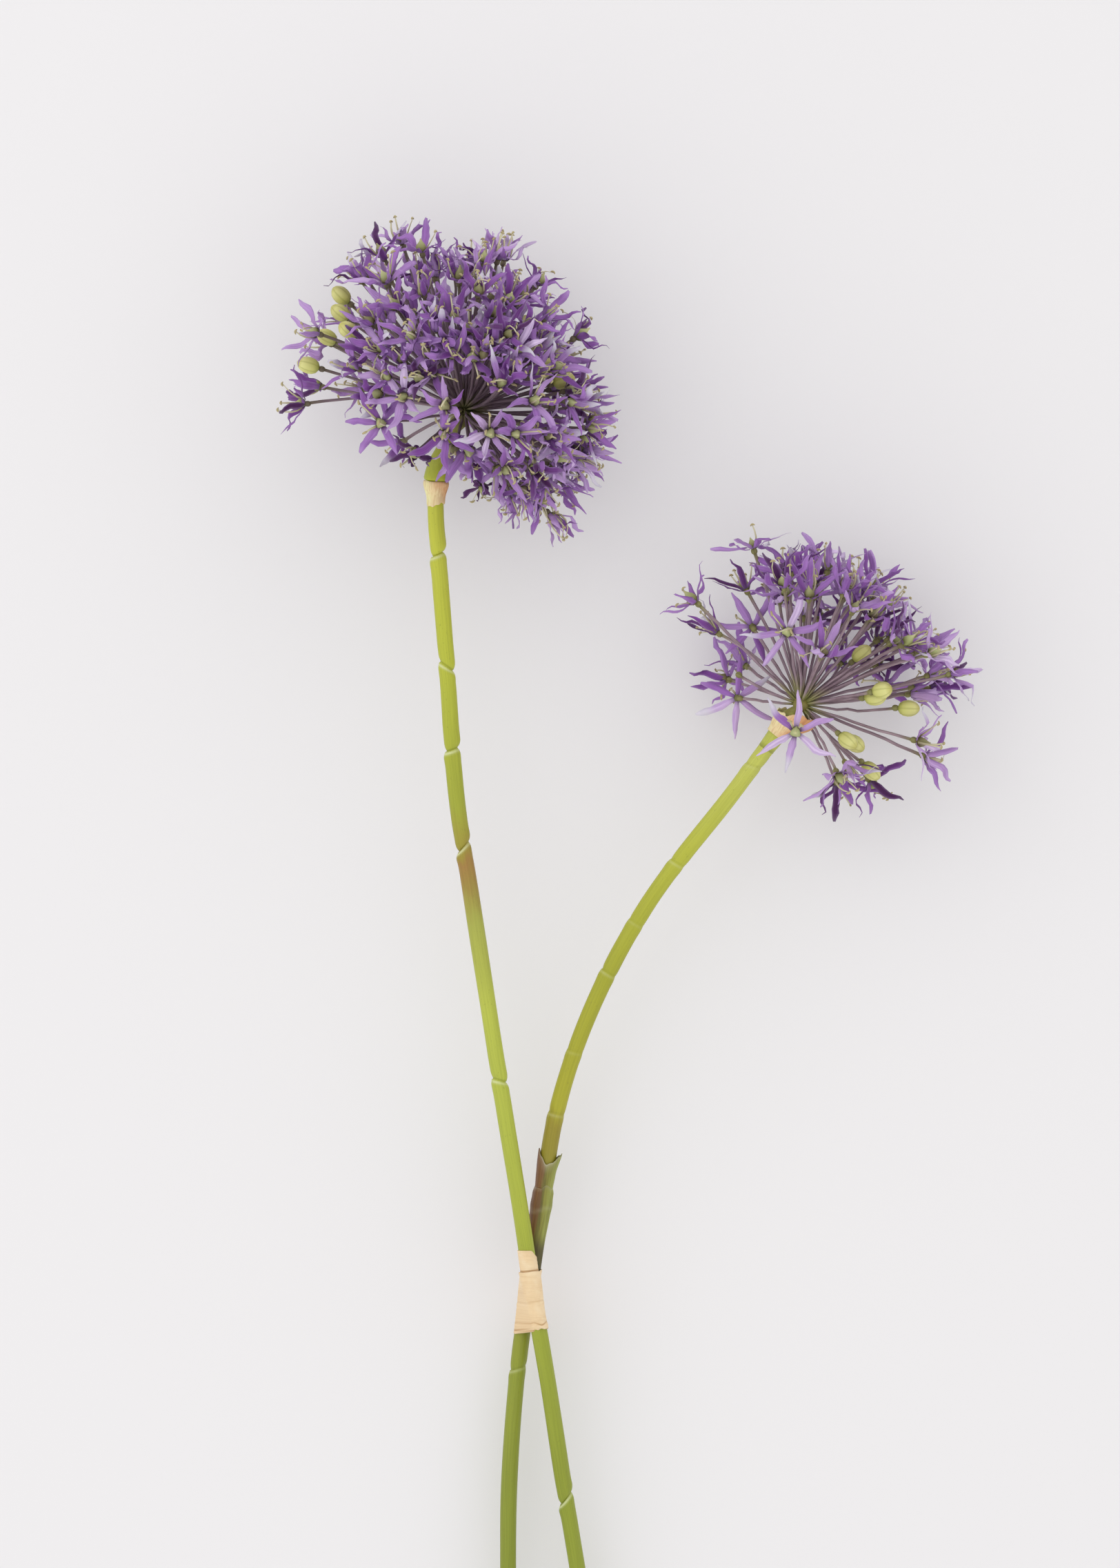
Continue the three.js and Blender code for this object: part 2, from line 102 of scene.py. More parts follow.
# A reach is a pedicel's length for florets that point level along a bearing, seen from above. "up" and
# "down" are the reaches straight up and down, and "spread" is how far from its crown a head has
# florets. A bud is its bearing, elevation and reach, and the extra ones have no CAD solid. A front
# floret is its place from the hub, how pale it is, with 0 for a withered one, and 1 or -1 if it lies
# wide open and flat with its face up or down. A bare pedicel is where it ends. Withered and fallen
# florets are given by their numbers. "shade" is how far from plum the pedicels are.
TALL = {
    "name": "tall",
    "seed": 1,
    "count": 140,
    "spread": 138,
    "reach": [
        (0, 40), (18, 34), (31, 37), (45, 33), (60, 45), (72, 50), (86, 51), (96, 43), (106, 55),
        (120, 55), (135, 51), (151, 57), (170, 51), (195, 41), (212, 28), (248, 14), (285, 15),
        (300, 33), (315, 40), (338, 43),
    ],
    "up": 47,
    "down": 40,
    "buds": [(137, 3, 50), (152, 3, 46), (164, 6, 48), (55, 10, 30), (26, 25, 27)],
    "extra_buds": [(146, 25, 45), (142, 8, 47), (26, 38, 34), (16, 15, 30.5)],
    "front": [
        (-19.6, 52.7, 2, 0.5, 0), (-13.2, 49.3, 16.4, 0.45, 0), (-31.3, 42.1, 13.2, 0.4, 0),
        (6.5, 46.2, 15.8, 0.7, 0), (-12.4, 35.3, 32.3, 0.55, 0), (-8.2, 23.9, 39.1, 0.5, 0),
        (-15.8, 20.9, 38.7, 0.6, 0), (-18.5, 14, 38, 0.45, 0), (-3.3, 15.5, 41, 0.6, 0),
        (17, 17.5, 37.9, 0.75, 0), (-13.5, 8.5, 39, 0, 0), (-25.7, -5.3, 33, 0.5, 1),
        (-5.6, -8.8, 32, 0.55, 0), (8.4, -8.5, 39, 0.7, 0), (21.7, 1.5, 37.2, 0.5, 0),
        (32.7, 1.9, 27.2, 0.35, 0), (27, -32.9, 2, 0.65, 0), (5.8, -23.5, 2, 0, 0),
        (-18.5, 2.7, 38, 0.65, 0), (25.9, 28.4, 23.1, 0.5, 0), (35.3, 23.1, 2, 0.3, 0),
        (-25, 18, 34, 0.55, 0), (-28.5, 26, 29, 0.45, 0), (-23.5, 9, 36, 0.7, 0), (-21, 31, 30, 0.6, 0),
        (-9.5, 10.5, 36, 0.5, 0), (-26, 4, 30, 0.4, 0), (9.5, 28.5, 31, 0.45, 0), (1.5, 23, 35, 0.6, 0),
        (-1.5, 40, 18, 0.4, 0), (14, 33, 25, 0.5, 0), (20, 24, 29, 0.35, 0), (-6, 31.5, 27, 0.7, 0),
        (-16, 28, 31, 0.3, 0), (26, -9, 31, 0.5, 0), (28, 12, 26, 0.6, 0),
        (3, 14.5, 40, 0.25, 0), (-4.5, 19, 39, 0.45, 0), (9.5, 16.5, 38, 0.35, 0), (13.5, 9.5, 38, 0.5, 0),
        (5.5, 21.5, 36, 0.2, 0), (-10.5, 16, 38, 0.55, 0),
    ],
    "withered": {109},
    "fallen": {51, 62, 72},
    "bare": [],
    "inner_count": 240,
    "shade": 0.15,
    "tepal_half": (1.0, 1.45),
    "tepal_length": (0.8, 1.06),
    "tepal_curl": 32,
    "openings": (20, 34, 44, 52),
}
SHORT = {
    "name": "short",
    "seed": 2,
    "count": 176,
    "spread": 122,
    "reach": [
        (0, 43), (20, 50), (38, 42), (73, 44), (113, 46), (136, 46), (165, 30), (196, 24), (233, 12),
        (263, 14), (285, 20), (296, 28), (316, 36), (341, 44),
    ],
    "up": 40,
    "down": 38,
    "buds": [(6, 20, 21.5), (40, 8, 22), (358, 6, 31), (324, 10, 18), (317, -12, 28)],
    "extra_buds": [(10, 30, 26.5), (322, 27, 17.5)],
    "front": [
        (-2.2, -8.8, 23, 0.9, 1), (-20, 2.2, -7, 0.6, -1), (-33.2, 32.5, 3, 0.45, 0),
        (-26.4, 23, -5, 0.15, 0), (-15.1, 24.9, -11, 0.5, -1), (-15.1, 49.5, 4, 0.5, 0),
        (-4.8, 22.6, 20, 0.8, 1), (6.1, 15.4, 24, 0.5, 0), (16.4, 32.9, 14, 0.4, 0),
        (28.5, 19.6, 15, 0.7, 0), (36.5, -11.5, 6, 0.8, 0), (14.5, -19, 3, 0.45, 0),
    ],
    "withered": set(),
    "fallen": {36, 56, 69, 90, 111, 129, 132},
    "bare": [(-20.5, 9.8, 4)],
    "inner_count": 170,
    "shade": 0.55,
    "tepal_half": (1.0, 1.35),
    "tepal_length": (0.95, 1.16),
    "tepal_curl": 24,
    "openings": (30, 40, 48, 54),
}


def missing_from_tall(bearing, elevation, i):
    """Whether floret i of the tall head is left out: the head is thin on its left and underneath."""
    if 165 < bearing < 215 and elevation > 5:
        return elevation < 48 and i % 4 > 0
    if 150 < bearing < 205:
        return i % 2 > 0
    if 215 < bearing < 290 and abs(elevation) < 28:
        return True
    if 205 < bearing < 300 and elevation < 0:
        return i % 3 > 0
    return elevation < -55 and i % 3 > 0


def missing_from_short(bearing, elevation, i):
    """Whether floret i of the short head is left out: the head is open on its left, lower and upper sides."""
    if elevation > 40 or elevation < -58:
        return True
    if 125 < bearing < 340:
        return elevation > 20 or i % 3 > 0
    if bearing >= 340 or bearing < 8:
        return elevation > 25 or i % 2 > 0
    return bearing > 100 and i % 2 > 0


def inside_tall(bearing, elevation):
    """Where shorter florets fill the tall head, close under its outer ones."""
    return -12 < elevation < 72 and (8 < bearing < 162 or bearing > 296)


def inside_short(bearing, elevation):
    """Where shorter florets fill the short head."""
    return -45 < elevation < 32 and 4 < bearing < 106


TALL["missing"], TALL["inside"] = missing_from_tall, inside_tall
SHORT["missing"], SHORT["inside"] = missing_from_short, inside_short

# ---------------------------------------------------------------- small helpers


def jitter(series, i):
    """A repeatable number from -1 to 1 for item i of a series, the same as the CAD model's."""
    value = math.sin(i * 12.9898 + series * 78.233) * 43758.5453
    return 2 * (value - math.floor(value)) - 1


def mix(low, high, share):
    return low + (high - low) * share


def ease(low, high, value):
    """0 up to low, 1 from high on, and smooth between."""
    share = min(1, max(0, (value - low) / (high - low)))
    return share * share * (3 - 2 * share)


def bulge(middle, half, value):
    """A smooth bump: 1 at middle, 0 from half away on."""
    return 1 - ease(0, half, abs(value - middle))


def paint(code):
    """An sRGB hex colour as the linear colour that shaders use."""
    parts = [int(code[i:i + 2], 16) / 255 for i in (1, 3, 5)]
    return [p / 12.92 if p <= 0.04045 else ((p + 0.055) / 1.055) ** 2.4 for p in parts] + [1]


# ---------------------------------------------------------------- routes of the stems

CROSSING_LIFT = STEM_RADIUS + SHEATH_WALL / 2 + GAP
CROSSING_FLAT = 36
CROSSING_FADE = 70


class Route:
    """A stem's centre line, a centripetal Catmull-Rom curve measured by its length."""

    STEPS = 40

    def __init__(self, points, hub_height, side):
        end_height = STEM_RADIUS + STEM_END_SWELL
        end_y, hub_y = points[0][1], points[-1][1]
        knots = []
        for x, y in points:
            past = max(0, abs(y) - CROSSING_FLAT) / CROSSING_FADE
            lift = side * CROSSING_LIFT * (1 - ease(0, 1, past))
            if y < 0:
                height = mix(TIE_HEIGHT, end_height, y / end_y)
            else:
                height = mix(TIE_HEIGHT, hub_height, y / hub_y)
            knots.append(Vector((x, y, height + lift)))
        knots = [2 * knots[0] - knots[1], *knots, 2 * knots[-1] - knots[-2]]
        self.places = [knots[1]]
        for span in zip(knots, knots[1:], knots[2:], knots[3:]):
            self.places += [self.between(span, step / self.STEPS) for step in range(1, self.STEPS + 1)]
        self.lengths = [0.0]
        for here, there in zip(self.places, self.places[1:]):
            self.lengths.append(self.lengths[-1] + (there - here).length)
        self.total = self.lengths[-1]
        self.frame = lru_cache(maxsize=None)(self.frame)

    @staticmethod
    def between(span, share):
        before, start, end, after = span
        gaps = [math.sqrt((b - a).length) for a, b in zip(span, span[1:])]
        leave = (start - before) / gaps[0] - (end - before) / (gaps[0] + gaps[1]) + (end - start) / gaps[1]
        arrive = (end - start) / gaps[1] - (after - start) / (gaps[1] + gaps[2]) + (after - end) / gaps[2]
        leave, arrive = leave * gaps[1], arrive * gaps[1]
        square, cube = share * share, share ** 3
        return (
            start * (2 * cube - 3 * square + 1) + leave * (cube - 2 * square + share)
            + end * (3 * square - 2 * cube) + arrive * (cube - square)
        )

    def at(self, along):
        """The point this far along, carried straight on past either end."""
        i = min(max(bisect_right(self.lengths, along) - 1, 0), len(self.places) - 2)
        start, end = self.places[i], self.places[i + 1]
        return start + (end - start) * ((along - self.lengths[i]) / (self.lengths[i + 1] - self.lengths[i]))

    def frame(self, along):
        """The point this far along, with the stem's side, its own direction and its upper side there."""
        tangent = (self.at(along + 0.5) - self.at(along - 0.5)).normalized()
        side = tangent.cross(UP).normalized()
        return self.at(along), side, tangent, side.cross(tangent)

    def length_at(self, y):
        """How far along the route it reaches a given y."""
        low, high = 0, self.total
        for _ in range(30):
            middle = (low + high) / 2
            if self.at(middle).y < y:
                low = middle
            else:
                high = middle
        return low

    def bend(self, bm):
        """Bends a mesh that was turned about +Y so that its axis follows the route."""
        for vert in bm.verts:
            point, side, _, over = self.frame(round(vert.co.y, 3))
            vert.co = point + side * vert.co.x + over * vert.co.z


TALL_STEM = Route(TALL_ROUTE, TALL_HUB_HEIGHT, 1)
SHORT_STEM = Route(SHORT_ROUTE, SHORT_HUB_HEIGHT, -1)


def tape_centre():
    """The middle of the CAD model's tape in the bunch's own layout."""
    rows = [TAPE_ABOVE - TAPE_LENGTH * (1 - i / 10) for i in range(11)]
    places = [stem.at(stem.length_at(y)) for y in rows for stem in (TALL_STEM, SHORT_STEM)]
    low = Vector(map(min, *places))
    high = Vector(map(max, *places))
    return Vector(((low.x + high.x) / 2, TAPE_ABOVE - TAPE_LENGTH / 2, (low.z + high.z) / 2))


def box_centre(node):
    low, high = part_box(node)
    return (low + high) / 2


TO_ROW = (
    Matrix.Translation(box_centre("tie_tape")) @ Matrix.Scale(MM, 4) @ Matrix.Translation(-tape_centre())
)
FLOOR = -(TO_ROW.translation.z / MM)

# ---------------------------------------------------------------- materials


def add(tree, kind, inputs=None, stops=None, **settings):
    """Adds a node with its settings. An input is a number, a colour or the output that feeds it."""
    node = tree.nodes.new("ShaderNode" + kind)
    for name, value in settings.items():
        setattr(node, name, value)
    for name, value in (inputs or {}).items():
        if isinstance(value, bpy.types.NodeSocket):
            tree.links.new(value, node.inputs[name])
        else:
            node.inputs[name].default_value = value
    if stops:
        ramp = node.color_ramp.elements
        while len(ramp) < len(stops):
            ramp.new(1)
        for element, (position, colour) in zip(ramp, stops):
            element.position = position
            element.color = paint(colour)
    return node


def new_material(name, **shader):
    """A material with its main shader's own settings, the tree to add its pattern to and that shader."""
    material = bpy.data.materials.new(name)
    material.use_nodes = True
    tree = material.node_tree
    main = tree.nodes["Principled BSDF"]
    for socket, value in shader.items():
        main.inputs[socket.replace("_", " ")].default_value = value
    return material, tree, main


def finish_colour(tree, main, colour, height=None, depth=0.0):
    """Feeds the shader its colour and, for a surface in relief, its bump of this depth in millimetres."""
    tree.links.new(colour, main.inputs["Base Color"])
    if height is not None:
        bump = add(tree, "Bump", {"Height": height, "Distance": depth * MM, "Strength": 1.0})
        tree.links.new(bump.outputs["Normal"], main.inputs["Normal"])


def straightened(tree, scale):
    """The place on the straightened stem, in millimetres, with each axis scaled."""
    place = add(tree, "Attribute", attribute_name="straight")
    return add(tree, "VectorMath", {0: place.outputs["Vector"], 1: scale}, operation="MULTIPLY").outputs[0]


def growth_places(tree):
    """Where on its tepal, stalk or case a point is: across it, along it, and the tone it has."""
    grow = add(tree, "Attribute", attribute_name="grow")
    return grow, add(tree, "SeparateXYZ", {0: grow.outputs["Vector"]})


def tinted(tree, under, colour, signal, low, high, most):
    """Turns a colour towards another, by up to `most`, as a signal goes from low to high."""
    share = add(tree, "MapRange", {0: signal, 1: low, 2: high, 3: 0.0, 4: most})
    return add(
        tree, "Mix", {0: share.outputs[0], 6: under, 7: paint(colour)}, data_type="RGBA",
    ).outputs[2]


def multiplied(tree, under, signal, stops, share):
    """Darkens a colour by a pattern's colours, this strongly."""
    pattern = add(tree, "ValToRGB", {"Fac": signal}, stops)
    return add(
        tree, "Mix", {0: share, 6: under, 7: pattern.outputs[0]}, data_type="RGBA", blend_type="MULTIPLY",
    ).outputs[2]


def stem_material(name, zones, total):
    """Dried flower stem: waxy and nearly smooth, with fine ribs along it and colour that shifts by zones."""
    material, tree, main = new_material(name, Roughness=0.46, IOR=1.45)
    place = add(tree, "Attribute", attribute_name="straight")
    axes = add(tree, "SeparateXYZ", {0: place.outputs["Vector"]})
    # Zones wander by 5 mm, so that no colour ends in a straight ring.
    wander = add(
        tree, "TexNoise", {"Vector": straightened(tree, (0.5, 0.1, 0.5)), "Scale": 1.0, "Detail": 3.0},
    )
    shifted = add(
        tree, "Math", {0: wander.outputs[0], 1: 10.0, 2: axes.outputs["Y"]}, operation="MULTIPLY_ADD",
    )
    share = add(tree, "Math", {0: shifted.outputs[0], 1: total + 5}, operation="DIVIDE")
    zone = add(tree, "ValToRGB", {"Fac": share.outputs[0]}, zones)
    # Ribs are 0.3 mm apart round the stem and 20 mm long.
    ribs = add(
        tree, "TexNoise", {"Vector": straightened(tree, (3.2, 0.05, 3.2)), "Scale": 1.0, "Detail": 3.0},
    )
    streaked = multiplied(
        tree, zone.outputs[0], ribs.outputs[0], [(0.3, "#9fa583"), (0.6, "#ffffff")], 0.22,
    )
    # At a joint, the rim below it gets a painted highlight and the fold above it gets painted shade.
    crease = add(tree, "Attribute", attribute_name="crease")
    rim_highlighted = tinted(tree, streaked, "#dfe4ae", crease.outputs["Fac"], 0.0, 1.0, 0.8)
    fold_shaded = tinted(tree, rim_highlighted, "#6f7426", crease.outputs["Fac"], 0.0, -1.0, 0.5)
    # Pores and scuffs are freckles of half a millimetre.
    freckle = add(
        tree, "TexNoise", {"Vector": straightened(tree, (1.9, 0.9, 1.9)), "Scale": 1.0, "Detail": 2.0},
    )
    spotted = tinted(tree, fold_shaded, "#77762c", freckle.outputs[0], 0.66, 0.74, 0.35)
    finish_colour(tree, main, spotted, ribs.outputs[0], 0.06)
    return material


def tape_material():
    """Florist's paper tape: crepe paper wound tight, matt, with fine crinkles round the stems."""
    material, tree, main = new_material("wound_crepe_paper_tape", Roughness=0.82, IOR=1.5, Sheen_Weight=0.1)
    # Crinkles are 0.3 mm apart along the stems.
    crinkle = add(
        tree, "TexNoise", {"Vector": straightened(tree, (0.25, 3.0, 0.25)), "Scale": 1.0, "Detail": 4.0},
    )
    cloud = add(tree, "TexNoise", {"Vector": straightened(tree, (0.3, 0.2, 0.3)), "Scale": 1.0})
    base = add(
        tree, "ValToRGB", {"Fac": cloud.outputs[0]},
        [(0.3, "#e8cba0"), (0.5, "#edd1a6"), (0.7, "#f1d9b2")],
    )
    lined = multiplied(
        tree, base.outputs[0], crinkle.outputs[0], [(0.3, "#b9905f"), (0.52, "#ffffff")], 0.14,
    )
    # Painted shade: the hollows of the hem's folds, the step under the lapped turn and a band on the narrow
    # turn under the wide turns' top edge are darkened.
    tape_shade_mark = add(tree, "Attribute", attribute_name="crease")
    shaded = tinted(tree, lined, "#a9783f", tape_shade_mark.outputs["Fac"], 0.0, -1.0, 0.75)
    finish_colour(tree, main, shaded, crinkle.outputs[0], 0.14)
    return material


def husk_material():
    """Dried spathe: thin cream papery skin with blotches of orange-brown and fine fibres along it."""
    material, tree, main = new_material("papery_dried_spathe", Roughness=0.7, IOR=1.45)
    blotch = add(
        tree, "TexNoise", {"Vector": straightened(tree, (0.2, 0.16, 0.2)), "Scale": 1.0, "Detail": 3.0},
    )
    axes = add(
        tree, "SeparateXYZ", {0: add(tree, "Attribute", attribute_name="straight").outputs["Vector"]},
    )
    # The right flank is the browner one.
    flank = add(tree, "MapRange", {0: axes.outputs["X"], 1: -2.5, 2: 3.0, 3: 0.1, 4: 0.42})
    brown = add(
        tree, "Math", {0: blotch.outputs[0], 1: 0.5, 2: flank.outputs[0]}, operation="MULTIPLY_ADD",
    )
    base = add(
        tree, "ValToRGB", {"Fac": brown.outputs[0]},
        [(0.3, "#efe8ae"), (0.48, "#ecd3a2"), (0.64, "#dfa976"), (0.8, "#b8763f")],
    )
    fibre = add(
        tree, "TexNoise", {"Vector": straightened(tree, (2.4, 0.1, 2.4)), "Scale": 1.0, "Detail": 3.0},
    )
    lined = multiplied(
        tree, base.outputs[0], fibre.outputs[0], [(0.35, "#c79a6c"), (0.55, "#ffffff")], 0.3,
    )
    finish_colour(tree, main, lined, fibre.outputs[0], 0.12)
    return material


def sheath_material():
    """Dried leaf sheath: leathery, red-brown on one flank and olive on the other, lined lengthwise."""
    material, tree, main = new_material("leathery_leaf_sheath", Roughness=0.5, IOR=1.45)
    axes = add(
        tree, "SeparateXYZ", {0: add(tree, "Attribute", attribute_name="straight").outputs["Vector"]},
    )
    line = add(
        tree, "TexNoise", {"Vector": straightened(tree, (1.4, 0.06, 1.4)), "Scale": 1.0, "Detail": 3.0},
    )
    across = add(
        tree, "Math", {0: line.outputs[0], 1: 1.8, 2: axes.outputs["X"]}, operation="MULTIPLY_ADD",
    )
    flank = add(tree, "MapRange", {0: across.outputs[0], 1: -2.2, 2: 4.0, 3: 0.0, 4: 1.0})
    base = add(
        tree, "ValToRGB", {"Fac": flank.outputs[0]},
        [(0.1, "#80583a"), (0.36, "#86633c"), (0.46, "#746c30"), (0.62, "#858234"), (0.9, "#979c48")],
    )
    lined = multiplied(
        tree, base.outputs[0], line.outputs[0], [(0.36, "#8a7a55"), (0.6, "#ffffff")], 0.35,
    )
    rim = add(tree, "Attribute", attribute_name="crease")
    edged = tinted(tree, lined, "#b9b394", rim.outputs["Fac"], 0.0, 1.0, 0.7)
    shaded = tinted(tree, edged, "#38260f", rim.outputs["Fac"], 0.0, -1.0, 0.8)
    finish_colour(tree, main, shaded, line.outputs[0], 0.15)
    return material


def tepal_material():
    """Dried tepal: soft thin petal, violet with fine veins along it, paler edges and some bleached tips."""
    material, tree, main = new_material("dried_violet_tepal", Roughness=0.62, IOR=1.4, Sheen_Weight=0.08)
    grow, axes = growth_places(tree)
    shade = add(
        tree, "ValToRGB", {"Fac": axes.outputs["Z"]},
        [(0.0, "#511f5a"), (0.18, "#81449a"), (0.5, "#a876c2"), (0.8, "#c8a4db"), (1.0, "#e0caec")],
    )
    # Five veins across a tepal, drawn a little coarser than real ones.
    stretched = add(
        tree, "VectorMath", {0: grow.outputs["Vector"], 1: (2.6, 1.2, 9.0)}, operation="MULTIPLY",
    )
    vein = add(tree, "TexNoise", {"Vector": stretched.outputs[0], "Scale": 1.0, "Detail": 2.0})
    veined = multiplied(
        tree, shade.outputs[0], vein.outputs[0], [(0.34, "#b493c2"), (0.58, "#ffffff")], 0.4,
    )
    # The edges are a little paler than the middle.
    edge = add(tree, "Math", {0: axes.outputs["X"]}, operation="ABSOLUTE")
    edged = tinted(tree, veined, "#c4a6dc", edge.outputs[0], 0.45, 1.0, 0.28)
    # The claw, where a tepal starts, is dull and greyish.
    clawed = tinted(tree, edged, "#6c5a80", axes.outputs["Y"], 0.16, 0.0, 0.55)
    bleach = add(tree, "Attribute", attribute_name="bleach")
    bleached = add(
        tree, "Mix", {0: bleach.outputs["Fac"], 6: clawed, 7: paint("#dcd8e2")}, data_type="RGBA",
    )
    finish_colour(tree, main, bleached.outputs[2])
    return material


def pedicel_material():
    """Pedicel: a dull mauve-brown stalk that is green where it leaves the hub and olive under its flower."""
    material, tree, main = new_material("mauve_brown_pedicel", Roughness=0.6, IOR=1.45)
    grow, axes = growth_places(tree)
    base = add(
        tree, "ValToRGB", {"Fac": axes.outputs["Y"]},
        [(0.0, "#a3ab58"), (0.1, "#a09a70"), (0.24, "#a08a94"), (0.85, "#a58f96"), (0.97, "#8f8d55")],
    )
    stretched = add(
        tree, "VectorMath", {0: grow.outputs["Vector"], 1: (1.5, 6.0, 20.0)}, operation="MULTIPLY",
    )
    streak = add(tree, "TexNoise", {"Vector": stretched.outputs[0], "Scale": 1.0})
    streaked = multiplied(
        tree, base.outputs[0], streak.outputs[0], [(0.35, "#a898a0"), (0.65, "#ffffff")], 0.7,
    )
    # Some stalks have dried almost to plum, except where they leave the hub.
    plum = add(tree, "MapRange", {0: axes.outputs["Z"], 1: 0.6, 2: 0.0, 3: 0.0, 4: 0.8})
    grown = add(tree, "MapRange", {0: axes.outputs["Y"], 1: 0.1, 2: 0.4, 3: 0.0, 4: 1.0})
    dried = add(tree, "Math", {0: plum.outputs[0], 1: grown.outputs[0]}, operation="MULTIPLY")
    darker = add(tree, "Mix", {0: dried.outputs[0], 6: streaked, 7: paint("#57434f")}, data_type="RGBA")
    finish_colour(tree, main, darker.outputs[2])
    return material


def ovary_material():
    """Ovary: a small leathery green seed case, darker at its foot, paler at its beak and browner on some
    florets.
    """
    material, tree, main = new_material("leathery_green_ovary", Roughness=0.55, IOR=1.45)
    _, axes = growth_places(tree)
    base = add(
        tree, "ValToRGB", {"Fac": axes.outputs["Y"]},
        [(0.0, "#6b6a3a"), (0.3, "#93985a"), (0.7, "#b3ba80"), (1.0, "#d0cd98")],
    )
    aged = tinted(tree, base.outputs[0], "#6d5a3c", axes.outputs["Z"], 0.5, 0.0, 0.6)
    finish_colour(tree, main, aged)
    return material


def stamen_material():
    """Stamen: a dry cream-tan thread with a browner anther."""
    material, tree, main = new_material("dry_cream_stamen", Roughness=0.65, IOR=1.45)
    _, axes = growth_places(tree)
    base = add(
        tree, "ValToRGB", {"Fac": axes.outputs["Y"]},
        [(0.0, "#a39c74"), (0.5, "#cbc4a0"), (0.85, "#d8d1b0"), (1.0, "#b5a87c")],
    )
    finish_colour(tree, main, base.outputs[0])
    return material


def bud_material():
    """Closed bud: cream-green, waxy, with six shallow seams that are greener than its flanks."""
    material, tree, main = new_material("waxy_cream_bud", Roughness=0.45, IOR=1.45)
    _, axes = growth_places(tree)
    base = add(
        tree, "ValToRGB", {"Fac": axes.outputs["Y"]},
        [(0.0, "#a5ab50"), (0.25, "#cdcc76"), (0.8, "#dcd98e"), (1.0, "#c3bd66")],
    )
    seamed = tinted(tree, base.outputs[0], "#a0a24a", axes.outputs["X"], 0.5, 1.0, 0.5)
    finish_colour(tree, main, seamed)
    return material


# ---------------------------------------------------------------- making pieces


def turned(profile, sides):
    """A profile of (radius, height) points turned about +Y into a closed round shape or an open ring."""
    bm = bmesh.new()
    verts = [bm.verts.new((radius, along, 0)) for radius, along in profile]
    edges = [bm.edges.new(pair) for pair in zip(verts, verts[1:])]
    bmesh.ops.spin(
        bm, geom=verts + edges, cent=(0, 0, 0), axis=(0, 1, 0), angle=2 * math.pi, steps=sides,
        use_merge=True,
    )
    bmesh.ops.remove_doubles(bm, verts=bm.verts, dist=1e-4)
    bmesh.ops.recalc_face_normals(bm, faces=bm.faces)
    return bm


def keep_straight(bm):
    """Stores each point's place on the straight shape, which the patterns follow once it is bent."""
    straight = bm.verts.layers.float_vector.new("straight")
    for vert in bm.verts:
        vert[straight] = vert.co
    return bm.verts.layers.float.new("crease")


def face_outwards(bm):
    """Turns round every closed shell that bending or mirroring its points has left inside out."""
    seen = set()
    inside_out = []
    for start in bm.faces:
        if start in seen:
            continue
        seen.add(start)
        shell = [start]
        origin = start.verts[0].co.copy()
        volume = 0.0
        for face in shell:
            corners = [vert.co - origin for vert in face.verts]
            volume += sum(corners[0].dot(a.cross(b)) for a, b in zip(corners[1:], corners[2:]))
            near = {other for edge in face.edges for other in edge.link_faces} - seen
            seen |= near
            shell.extend(near)
        if volume < 0:
            inside_out.extend(shell)
    bmesh.ops.reverse_faces(bm, faces=inside_out)


def make_piece(name, bm, materials, nodes=()):
    """Links a finished mesh, laid out in millimetres, as a piece that stands for its CAD nodes."""
    face_outwards(bm)
    bm.transform(TO_ROW)
    mesh = bpy.data.meshes.new(name)
    bm.to_mesh(mesh)
    bm.free()
    mesh.shade_smooth()
    for material in materials:
        mesh.materials.append(material)
    piece = bpy.data.objects.new(name, mesh)
    bpy.context.scene.collection.objects.link(piece)
    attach(piece, "root")
    if nodes:
        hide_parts(*nodes)
    return piece


# ---------------------------------------------------------------- stems

STEM_SIDES = 28
JOINT_BELOW = 2.4  # how far below a joint its rim is
JOINT_ABOVE = 2.8  # over how much length the stem above a joint rounds off
JOINT_REACH = 8  # from a joint to where it no longer shows
JOINT_ROWS = [  # how far from a joint its rows of points lie: close together at the joint itself
    -8, -6, -4.5, -3.3, -2.4, -1.8, -1.3, -0.85, -0.5, -0.22, 0, 0.12, 0.35, 0.7, 1.2, 1.8, 2.5, 3.3,
    4.6, 6, 8,
]
STEM_ROWS_APART = 4.0
FOOT_SPREAD = 0.07  # how much wider a stem is at its cut end
FOOT_LENGTH = 34


def rounded(share):
    """The end of a round shape cut off at 0.6 of its width: 0 at 0, steep at first and level at 1."""
    past = 0.8 * (1 - min(1, max(0, share)))
    return (math.sqrt(1 - past * past) - 0.6) / 0.4


def joint_width(past, pinch):
    """A stem's width round a joint: the length above ends rounded, and the one below in a low rim."""
    if past > 0:
        return 1 - pinch * (1 - rounded(past / JOINT_ABOVE))
    return 1 + 0.04 * bulge(-2, 3, past) - 0.8 * pinch * (1 - rounded(-past / JOINT_BELOW))


